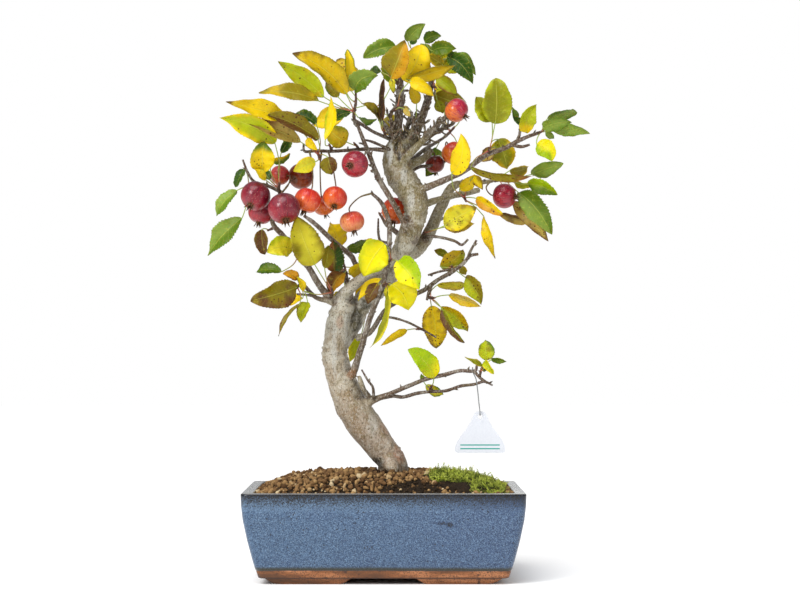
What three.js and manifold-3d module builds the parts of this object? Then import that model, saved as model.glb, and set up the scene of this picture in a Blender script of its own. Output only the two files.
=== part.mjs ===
// An apple bonsai: a flowering crab apple in a glazed tray, in millimetres, +Z up, facing -Y.
import * as THREE from "three";
import { mergeVertices } from "three/addons/utils/BufferGeometryUtils.js";
import Module from "manifold-3d";

const wasm = await Module();
wasm.setup();

// Driving dimensions of the tray.
const rimHalfWidth = 150;
const rimHalfDepth = 100;
const rimHeight = 97;
const bandHeight = 15.4;
const footHeight = 6.5;
const floorTop = 18;
const lipWidth = 12.5;
const cornerRadius = 8;
const drainRadius = 11;
const drainX = 62;

// What keeps neighbours apart, and how the tray stands under a tree that leans past it.
const seatGap = 0.3;
const treeOffset = { x: -14.4, y: -4.3 };

// Soil mound, granule layer and moss pad.
const moundFoot = 91;
const moundRise = 20;
const granuleBed = 3;
const granuleRelief = 4.2;
const granuleStep = 16;
const mossBed = 3;
const mossRise = 4.5;
const mossStep = 12;

// Leaves and stalks.
const bladeThickness = 0.9;
const petioleRadius = 0.8;
const straightStalk = 16;
const toothDepth = 0.06;
const waveShare = 0.05;
const stalkRadius = 0.75;
const stalkFootRadius = 1.15;

// Tag and the wire that it hangs from.
const tagWidth = 54;
const tagHeight = 45;
const tagThickness = 0.9;
const wireRadius = 0.55;

const colours = {
  glaze: 0x54708f,
  plastic: 0x2c2c2a,
  soil: 0x3a2a20,
  granule: 0x9a6f4c,
  moss: 0x7c9a2c,
  bark: 0x8a8272,
  wire: 0x77797b,
  tag: 0xf6f7f5,
};

// The same numbers come out each time for one seed.
function drawFrom(seed) {
  let state = seed;
  return () => {
    state = (state * 1664525 + 1013904223) % 4294967296;
    return state / 4294967296;
  };
}

// A closed geometry as a solid for joins and cuts.
function solidOf(geometry) {
  const bare = geometry.clone();
  bare.deleteAttribute("normal");
  bare.deleteAttribute("uv");
  const merged = mergeVertices(bare, 1e-4);
  return new wasm.Manifold(
    new wasm.Mesh({
      numProp: 3,
      vertProperties: new Float32Array(merged.attributes.position.array),
      triVerts: new Uint32Array(merged.index.array),
    }),
  );
}

function geometryOf(solid) {
  const mesh = solid.getMesh();
  const geometry = new THREE.BufferGeometry();
  geometry.setAttribute("position", new THREE.BufferAttribute(mesh.vertProperties, 3));
  geometry.setIndex(new THREE.BufferAttribute(mesh.triVerts, 1));
  geometry.computeVertexNormals();
  return geometry;
}

function fuse(solids) {
  return solids.reduce((whole, piece) => whole.add(piece));
}

// Cutting can leave a loose scrap, which is dropped.
function largestBody(solid) {
  const bodies = solid.decompose();
  return bodies.reduce((best, body) => (body.volume() > best.volume() ? body : best));
}

function geometryFrom(points, triangles) {
  const geometry = new THREE.BufferGeometry();
  const positions = points.flatMap((p) => [p.x, p.y, p.z]);
  geometry.setAttribute("position", new THREE.Float32BufferAttribute(positions, 3));
  geometry.setIndex(triangles);
  return geometry;
}

// A closed body through rings of equal length, each running anticlockwise seen from its end.
function loft(rings) {
  const count = rings[0].length;
  const triangles = [];
  for (let level = 0; level + 1 < rings.length; level++) {
    for (let i = 0; i < count; i++) {
      const j = (i + 1) % count;
      const a = level * count + i;
      const b = level * count + j;
      triangles.push(a, b, b + count, a, b + count, a + count);
    }
  }
  const cap = (ring, flip) => {
    const origin = ring[0];
    const along = ring[1].clone().sub(origin).normalize();
    const normal = ringNormal(ring);
    const across = new THREE.Vector3().crossVectors(normal, along);
    const flat = ring.map((p) => {
      const offset = p.clone().sub(origin);
      return new THREE.Vector2(offset.dot(along), offset.dot(across));
    });
    const faces = THREE.ShapeUtils.triangulateShape(flat, []);
    return faces.map((t) => (flip ? [t[0], t[2], t[1]] : t));
  };
  const last = (rings.length - 1) * count;
  cap(rings[0], true).forEach((t) => triangles.push(...t));
  cap(rings[rings.length - 1], false).forEach((t) => triangles.push(...t.map((i) => i + last)));
  return geometryFrom(rings.flat(), triangles);
}

function ringNormal(ring) {
  const normal = new THREE.Vector3();
  ring.forEach((p, i) => {
    const q = ring[(i + 1) % ring.length];
    normal.add(new THREE.Vector3().crossVectors(p, q));
  });
  return normal.normalize();
}

function roundedRing(halfX, halfY, radius, z, steps = 3) {
  const ring = [];
  const corners = [[1, 1], [-1, 1], [-1, -1], [1, -1]];
  corners.forEach(([sx, sy], corner) => {
    for (let i = 0; i <= steps; i++) {
      const angle = ((corner + i / steps) * Math.PI) / 2;
      const x = sx * (halfX - radius) + radius * Math.cos(angle);
      const y = sy * (halfY - radius) + radius * Math.sin(angle);
      ring.push(new THREE.Vector3(x, y, z));
    }
  });
  return ring;
}

// Rings of a tube along a path of [x, y, z, radius], without twist.
function tube(path, { sides, extra = 0, roughness = 0, seed = 1 }) {
  const draw = drawFrom(seed);
  const centres = path.map(([x, y, z]) => new THREE.Vector3(x, y, z));
  const curve = new THREE.CatmullRomCurve3(centres, false, "centripetal");
  const steps = path.length - 1;
  let side = null;
  const rings = [];
  for (let k = 0; k <= steps; k++) {
    const share = k / steps;
    const centre = curve.getPoint(share);
    const tangent = curve.getTangent(share);
    if (!side) {
      side = Math.abs(tangent.x) < 0.8 ? new THREE.Vector3(1, 0, 0) : new THREE.Vector3(0, 1, 0);
    }
    side.addScaledVector(tangent, -side.dot(tangent)).normalize();
    const across = new THREE.Vector3().crossVectors(tangent, side);
    const radius = path[k][3] + extra;
    const ring = [];
    for (let i = 0; i < sides; i++) {
      const angle = (2 * Math.PI * i) / sides;
      const r = radius * (1 + roughness * (draw() - 0.5));
      ring.push(
        centre
          .clone()
          .addScaledVector(side, r * Math.cos(angle))
          .addScaledVector(across, r * Math.sin(angle)),
      );
    }
    rings.push(ring);
  }
  return solidOf(loft(rings));
}

// Tray: outer and inner wall by height, four corner feet, two drain holes.
const outerProfile = [
  [footHeight, 132.8],
  [bandHeight, 135.2],
  [26, 138.5],
  [47.6, 143.8],
  [69, 148],
  [84, 149.6],
  [96.4, rimHalfWidth],
  [rimHeight, 149.2],
];
const innerProfile = [
  [floorTop, 122],
  [floorTop + 5, 127],
  [60, 134],
  [90, rimHalfWidth - lipWidth],
  [rimHeight + 4, rimHalfWidth - lipWidth],
];
const depthLess = rimHalfWidth - rimHalfDepth;

function innerSpace(clearance, topZ) {
  const rings = innerProfile.map(([z, half], i) => {
    const height = i === 0 ? z + clearance : i === innerProfile.length - 1 ? topZ : z;
    return roundedRing(half - clearance, half - depthLess - clearance, 7, height);
  });
  return solidOf(loft(rings));
}

function footSolid(signX, signY) {
  const levels = [
    [footHeight + 2, 0],
    [footHeight - 1.5, 1],
    [2.5, 6],
    [0, 10],
  ];
  const rings = levels.map(([z, inset]) => {
    const x0 = 130 - inset;
    const y0 = 81 - inset * 0.3;
    const xEnd = 34 + inset * 0.9;
    const yEnd = 28 + inset * 0.9;
    const wall = 20 - inset * 0.5;
    const outline = [
      [x0 - 8, y0], [x0 - 2.4, y0 - 2.4], [x0, y0 - 8], [x0, yEnd],
      [x0 - wall, yEnd], [x0 - wall, y0 - wall], [xEnd, y0 - wall], [xEnd, y0],
    ];
    const placed = outline.map(([x, y]) => new THREE.Vector3(signX * x, signY * y, z));
    return signX * signY > 0 ? placed : placed.reverse();
  });
  return solidOf(loft(rings));
}

function makePot() {
  const outer = outerProfile.map(([z, half], i) => {
    const radius = cornerRadius - (i === outerProfile.length - 1 ? 0.8 : 0);
    return roundedRing(half, half - depthLess, radius, z);
  });
  let pot = solidOf(loft(outer)).subtract(innerSpace(0, rimHeight + 4));
  for (const x of [-drainX, drainX]) {
    const hole = new THREE.CylinderGeometry(drainRadius, drainRadius, 30, 16);
    hole.rotateX(Math.PI / 2).translate(x, 0, footHeight + 6);
    pot = pot.subtract(solidOf(hole));
  }
  for (const signX of [-1, 1]) {
    for (const signY of [-1, 1]) {
      pot = pot.add(footSolid(signX, signY));
    }
  }
  return pot;
}

// Square of plastic netting that lies over a drain hole.
const netHalf = 18;
const netThickness = 1.2;
const netCells = 3;
const netBar = 2.4;

function makeDrainMesh(x) {
  const z = floorTop + seatGap + netThickness / 2;
  const sheet = new THREE.BoxGeometry(2 * netHalf, 2 * netHalf, netThickness);
  let net = solidOf(sheet.translate(x, 0, z));
  const pitch = (2 * netHalf - netBar) / netCells;
  for (let i = 0; i < netCells; i++) {
    for (let j = 0; j < netCells; j++) {
      const cell = new THREE.BoxGeometry(pitch - netBar, pitch - netBar, 4);
      const start = -netHalf + netBar / 2 + pitch / 2;
      cell.translate(x + start + i * pitch, start + j * pitch, z);
      net = net.subtract(solidOf(cell));
    }
  }
  return net;
}

// Height of the soil mound, which is level at the wall and rises to the trunk.
function moundHeight(x, y) {
  const towardEnds = 1 - Math.min(1, Math.abs(x / 137)) ** 4;
  const towardSides = 1 - Math.min(1, Math.abs(y / 87)) ** 3;
  return moundFoot + moundRise * towardEnds * towardSides;
}

// A block over a grid of points whose top follows a height.
function groundBlock(xs, ys, bottomZ, heightAt) {
  const points = [];
  for (const z of ["top", "bottom"]) {
    ys.forEach((y, j) =>
      xs.forEach((x, i) => {
        points.push(new THREE.Vector3(x, y, z === "top" ? heightAt(x, y, i, j) : bottomZ));
      }),
    );
  }
  const wide = xs.length;
  const layer = wide * ys.length;
  const triangles = [];
  for (let j = 0; j + 1 < ys.length; j++) {
    for (let i = 0; i + 1 < wide; i++) {
      const a = j * wide + i;
      const quad = [a, a + 1, a + wide + 1, a + wide];
      triangles.push(quad[0], quad[1], quad[2], quad[0], quad[2], quad[3]);
      const low = quad.map((v) => v + layer);
      triangles.push(low[0], low[2], low[1], low[0], low[3], low[2]);
    }
  }
  const wall = (a, b) => triangles.push(a, a + layer, b + layer, a, b + layer, b);
  for (let i = 0; i + 1 < wide; i++) {
    wall(i, i + 1);
    wall(layer - 1 - i, layer - 2 - i);
  }
  for (let j = 0; j + 1 < ys.length; j++) {
    wall((j + 1) * wide, j * wide);
    wall(j * wide + wide - 1, (j + 1) * wide + wide - 1);
  }
  return solidOf(geometryFrom(points, triangles));
}

function evenly(from, to, step) {
  const count = Math.round((to - from) / step);
  return Array.from({ length: count + 1 }, (_, i) => from + ((to - from) * i) / count);
}

function groundGrid(step) {
  return [evenly(-140, 140, step), evenly(-90, 90, step)];
}

function moundBlock(raise) {
  const [xs, ys] = groundGrid(26);
  return groundBlock(xs, ys, 0, (x, y) => moundHeight(x, y) + raise);
}

// Outline of the moss pad, seen from above, at the right of the trunk.
const mossOutline = [
  [46, -58], [56, -74], [80, -83], [112, -84], [133, -82], [133, -40],
  [131, -8], [112, 12], [88, 20], [66, 12], [50, -8], [42, -34],
];
// Bare dark soil at the front wall, between the granules and the moss.
const bareOutline = [
  [-22, -90], [70, -90], [50, -76], [40, -60], [26, -56], [4, -68],
];

function outlinePrism(outline, grow, bottomZ, topZ) {
  const mean = (axis) => outline.reduce((sum, p) => sum + p[axis], 0) / outline.length;
  const centre = [mean(0), mean(1)];
  const ringAt = (z) =>
    outline.map(([x, y]) => {
      const away = new THREE.Vector2(x - centre[0], y - centre[1]);
      const length = away.length();
      away.multiplyScalar((length + grow) / length);
      return new THREE.Vector3(centre[0] + away.x, centre[1] + away.y, z);
    });
  return solidOf(loft([ringAt(bottomZ), ringAt(topZ)]));
}

function makeSoil(trunkHole) {
  const netRoom = 2 * netHalf + 3 * seatGap;
  const netDepth = 2 * (netThickness + 3 * seatGap);
  const nets = [-drainX, drainX].map((x) =>
    solidOf(new THREE.BoxGeometry(netRoom, netRoom, netDepth).translate(x, 0, floorTop)),
  );
  const mass = moundBlock(0).intersect(innerSpace(seatGap, rimHeight + 60));
  return nets.reduce((whole, net) => whole.subtract(net), mass).subtract(trunkHole);
}

function makeGranules(trunkHole) {
  const draw = drawFrom(7);
  const [xs, ys] = groundGrid(granuleStep);
  const heights = xs.map(() => ys.map(() => draw()));
  const crumbs = (x, y, i, j) => moundHeight(x, y) + granuleBed + granuleRelief * heights[i][j];
  return largestBody(
    groundBlock(xs, ys, 60, crumbs)
      .intersect(innerSpace(2 * seatGap, rimHeight + 60))
      .subtract(moundBlock(seatGap))
      .subtract(outlinePrism(mossOutline, 0.6, 50, 160))
      .subtract(outlinePrism(bareOutline, 0, 50, 160))
      .subtract(trunkHole),
  );
}

function makeMoss() {
  const draw = drawFrom(19);
  const [xs, ys] = [evenly(36, 140, mossStep), evenly(-90, 24, mossStep)];
  const heights = xs.map(() => ys.map(() => draw()));
  const rise = (x, y) => {
    const across = ((x - 88) / 52) ** 2 + ((y + 34) / 62) ** 2;
    return mossBed + mossRise * Math.max(0, 1 - 0.8 * across);
  };
  const cushion = (x, y, i, j) => moundHeight(x, y) + rise(x, y) + 2.6 * heights[i][j];
  const pad = groundBlock(xs, ys, 60, cushion)
    .intersect(outlinePrism(mossOutline, 0, 50, 160))
    .intersect(innerSpace(2 * seatGap, rimHeight + 60))
    .subtract(moundBlock(seatGap));
  const tufts = [];
  for (let k = 0; k < 34; k++) {
    const x = 48 + 80 * draw();
    const y = -76 + 84 * draw();
    const lean = [6 * (draw() - 0.5), 6 * (draw() - 0.5)];
    const height = 4 + 4 * draw();
    const foot = new THREE.ConeGeometry(3.2, height + 5, 4);
    foot.rotateX(Math.PI / 2).translate(0, 0, (height + 5) / 2 - 2.6);
    foot.applyMatrix4(new THREE.Matrix4().makeShear(0, lean[0] / height, 0, lean[1] / height, 0, 0));
    foot.translate(x, y, moundHeight(x, y) + rise(x, y));
    const inside = (((x - 90) / 40) ** 2 + ((y + 34) / 46) ** 2) < 1;
    if (inside) tufts.push(solidOf(foot));
  }
  return largestBody(fuse([pad, ...tufts]));
}

// Wood: each limb is a path of [x, y, z, radius].
const limbs = {
  "lower trunk": [
    [13, 0, 92, 17.5], [11, 0, 109, 17.2], [8, 0, 126, 15.6], [-1, 0, 138, 16],
    [-17, 1, 159, 18.2], [-32, 2, 181, 18.4], [-42, 3, 202, 17.2], [-49, 4, 221, 14.8],
    [-54, 5, 242, 14], [-52, 5, 258, 14.2], [-48, 4, 284, 13.4], [-42, 3, 300, 12.4],
  ],
  "front limb": [
    [-50, 0, 296, 9], [-43, -3, 309, 7], [-23, -8, 326, 5.6], [-3, -8, 337, 5], [10, -5, 345, 5],
    [20, 0, 353, 5],
  ],
  "back trunk": [
    [-47, 9, 253, 9], [-35, 14, 278, 11.5], [-24, 17, 299, 11.5], [-7, 17, 316, 11.5],
    [9, 10, 335, 11.5], [19, 2, 353, 11.5], [29, -2, 378, 12], [35, -3, 397, 12.8],
    [34, -2, 412, 14.6], [29, -1, 422, 15.2], [22, 0, 432, 15.8], [16, 2, 443, 15.6],
    [14, 3, 456, 15.6], [16, 3, 469, 14.6], [18, 3, 480, 9],
  ],
  "side branch": [
    [-43, -2, 213, 6], [-35, -9, 220, 5.6], [-28, -15, 239, 4.3], [-22, -19, 258, 3.9],
    [-15, -21, 282, 3.7], [-7, -22, 302, 3.6], [-1, -22, 317, 3.6], [2, -21, 332, 3.6],
    [5, -20, 347, 3.4], [6, -18, 383, 3.2], [2, -18, 398, 3], [-4, -19, 409, 2.6],
    [-14, -22, 418, 1.7],
  ],
  "front left branch": [
    [32, -6, 368, 5], [27, -14, 376, 5], [18, -18, 393, 5.2], [6, -23, 414, 5.2],
    [-5, -27, 432, 5], [-14, -30, 454, 4.4], [-22, -33, 474, 3.5], [-29, -35, 491, 2.8],
    [-33, -36, 496, 2.1],
  ],
  "crown left stem": [
    [9, 0, 478, 2.6], [2, -6, 480, 2], [-12, -18, 485, 1.8], [-25, -30, 492, 1.8],
    [-33, -36, 496, 1.8],
  ],
  "left branch": [
    [13, 0, 460, 4], [3, -7, 465, 2.6], [-16, -16, 466, 2], [-37, -24, 464, 1.9],
    [-57, -32, 462, 1.8], [-72, -38, 462, 1.8], [-85, -42, 461, 1.5], [-86, -44, 469, 1],
  ],
  "crown stem a": [[13, -6, 470, 3], [10, -9, 478, 2.2], [7, -14, 506, 1.4]],
  "crown stem b": [
    [16, 2, 467, 6], [14, 0, 479, 5.4], [16, -4, 499, 5], [17, -8, 515, 4.8], [18, -12, 533, 4.2],
    [18, -15, 547, 3],
  ],
  "crown stem c": [
    [22, 6, 465, 5], [31, 10, 479, 5], [39, 14, 496, 4.7], [46, 18, 516, 4.4], [50, 20, 530, 4],
    [53, 22, 547, 3.2], [56, 22, 555, 2.4],
  ],
  "crown stem d": [
    [26, -4, 460, 5], [39, -12, 472, 3.8], [52, -24, 485, 3.2], [65, -34, 497, 2.7],
    [72, -38, 500, 2],
  ],
  "crown stem e": [
    [31, 10, 468, 4], [51, 22, 484, 2.6], [60, 28, 491, 2.2], [76, 36, 499, 1.8],
    [79, 38, 502, 1.2],
  ],
  "crown stub f": [[22, 4, 448, 6], [41, 14, 457, 4.6], [48, 18, 463, 4.2], [52, 20, 470, 3.6]],
  "crown stem g": [
    [22, 6, 443, 4], [30, 14, 445, 2.4], [39, 20, 450, 2], [51, 26, 452, 1.9], [69, 36, 458, 1.6],
  ],
  "crown back stem": [
    [17, 8, 459, 6], [13, 22, 473, 4], [8, 42, 489, 3.2], [0, 62, 502, 2.6], [-7, 76, 513, 1.8],
  ],
  "crown back right": [
    [20, 10, 446, 5], [31, 28, 458, 3.4], [45, 50, 472, 2.8], [60, 70, 483, 2.2],
    [71, 82, 491, 1.6],
  ],
  "crown knob a": [[22, -2, 466, 6], [28, -6, 478, 4], [32, -8, 490, 2.6], [33, -9, 500, 1.6]],
  "right branch": [
    [31, -4, 419, 5.4], [42, -11, 423, 4.2], [64, -20, 431, 3.6], [88, -27, 442, 3.2],
    [111, -33, 458, 2.8], [131, -38, 465, 2.6], [142, -41, 471, 2.4], [156, -44, 477, 2],
    [166, -46, 480, 1.6],
  ],
  "right branch twig": [[142, -41, 470, 1.8], [146, -40, 479, 1.6], [147, -38, 492, 1.1]],
  "second right branch": [
    [33, 2, 403, 5], [47, 4, 408, 4.2], [57, 8, 412, 3.6], [74, 14, 417, 3.6], [90, 20, 421, 3.6],
    [106, 26, 425, 3],
  ],
  "back right stem": [
    [22, 8, 349, 8], [38, 14, 359, 7.4], [49, 20, 375, 7], [58, 26, 394, 6.6], [66, 31, 411, 6],
    [76, 36, 429, 5], [92, 39, 434, 3], [114, 38, 435, 2.4], [126, 36, 437, 1.6],
  ],
  "curly twig": [
    [44, 14, 368, 3], [51, 6, 372, 1.9], [65, -4, 370, 1.6], [78, -10, 366, 1.5],
    [85, -12, 362, 1.5], [92, -13, 368, 1.2],
  ],
  "low right branch": [
    [-31, 8, 260, 4], [-15, 6, 267, 3], [0, 5, 289, 2.7], [14, 5, 300, 2.8], [44, 2, 313, 2.7],
    [59, -1, 324, 2.4], [75, -4, 333, 2.2], [87, -7, 342, 2], [94, -9, 350, 1.9],
    [103, -11, 352, 1.4],
  ],
  "low right fork": [[92, -8, 347, 1.8], [94, -12, 354, 1.6], [101, -15, 367, 1.1]],
  "low right cross twig": [[78, -3, 336, 1.6], [63, 6, 334, 1.4], [49, 14, 330, 1.1]],
  "low right bud": [[52, 1, 318, 2], [49, -6, 309, 2], [47, -10, 302, 1.2]],
  "thin twig": [
    [-5, 5, 282, 2], [7, -1, 283, 1.4], [25, -9, 278, 1.3], [43, -15, 269, 1.2],
    [57, -19, 261, 0.9],
  ],
  "left branch low": [
    [-50, 0, 297, 5.5], [-58, -5, 304, 4.4], [-69, -11, 316, 3.8], [-81, -19, 336, 3.4],
    [-93, -26, 351, 3.2], [-108, -35, 370, 3], [-119, -41, 383, 2.8], [-119, -46, 400, 2.5],
    [-109, -51, 416, 2.3],
  ],
  "far left twig": [
    [-109, -51, 416, 2], [-124, -52, 423, 1.8], [-138, -55, 427, 1.6], [-145, -58, 437, 1.4],
    [-150, -62, 450, 1],
  ],
  "left back branch": [
    [-4, 12, 329, 4], [-30, 8, 341, 3], [-36, 12, 351, 3], [-55, 20, 367, 2.9],
    [-76, 30, 387, 2.6], [-89, 38, 397, 1.8],
  ],
  "left stub": [
    [-55, -4, 299, 4], [-62, -9, 301, 3], [-73, -14, 304, 2.6], [-79, -19, 309, 2.3],
    [-89, -25, 321, 1.6],
  ],
  "fork twig": [[-40, -3, 309, 3], [-40, 8, 318, 1.6], [-41, 12, 334, 1]],
  "fork twig b": [[-37, -2, 311, 3], [-44, 20, 329, 1.6], [-48, 28, 345, 1.1]],
  "low branch": [
    [-23, -2, 187, 6], [-11, -8, 193, 4.2], [5, -13, 199, 2.8], [31, -22, 210, 2.4],
    [46, -27, 216, 2.3], [67, -34, 221, 2.2], [82, -38, 225, 2], [98, -42, 225, 1.8],
    [100, -43, 232, 1.2],
  ],
  "low branch knot": [[97, -42, 225, 1.8], [103, -44, 218, 1.6], [111, -46, 212, 1.4]],
  "low branch b": [
    [-15, -6, 193, 3], [-2, -8, 195, 2.2], [10, -9, 197, 2], [21, -10, 196, 2],
    [36, -12, 200, 1.9], [51, -14, 202, 1.8], [68, -16, 203, 1.7], [83, -18, 208, 1.7],
    [98, -20, 210, 1.6], [109, -22, 213, 1.5], [118, -24, 209, 1],
  ],
  "knot twig": [
    [-10, -9, 192, 2], [-11, -14, 196, 1.8], [-12, -18, 207, 1.4], [-17, -21, 214, 1.3],
    [-24, -24, 226, 0.9],
  ],
  "upright spur": [[3, -18, 364, 1.6], [-4, -14, 367, 1.3], [-6, -12, 376, 1.4], [-6, -12, 391, 0.8]],
  "bark ridge": [[-27, -9, 219, 2], [-25, -11, 212, 3], [-22, -10, 204, 3], [-15, -7, 195, 3]],
  "back low branch": [
    [-35, 20, 278, 6], [-36, 38, 296, 3.4], [-38, 58, 315, 2.8], [-43, 76, 329, 2.2],
    [-48, 88, 339, 1.6],
  ],
  "back mid branch": [
    [23, 8, 364, 6], [18, 30, 374, 3.4], [11, 52, 382, 2.8], [4, 72, 388, 2.2], [0, 84, 393, 1.6],
  ],
};

function sidesFor(radius) {
  if (radius > 9) return 9;
  if (radius > 4.5) return 6;
  if (radius > 3) return 5;
  return radius > 1.9 ? 4 : 3;
}

function woodSolid(extra) {
  const pieces = Object.values(limbs).map((path, i) => {
    const widest = Math.max(...path.map((p) => p[3]));
    return tube(path, {
      sides: sidesFor(widest),
      extra,
      roughness: widest > 4.5 ? 0.12 : 0.05,
      seed: 100 + i,
    });
  });
  return fuse(pieces);
}

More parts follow.
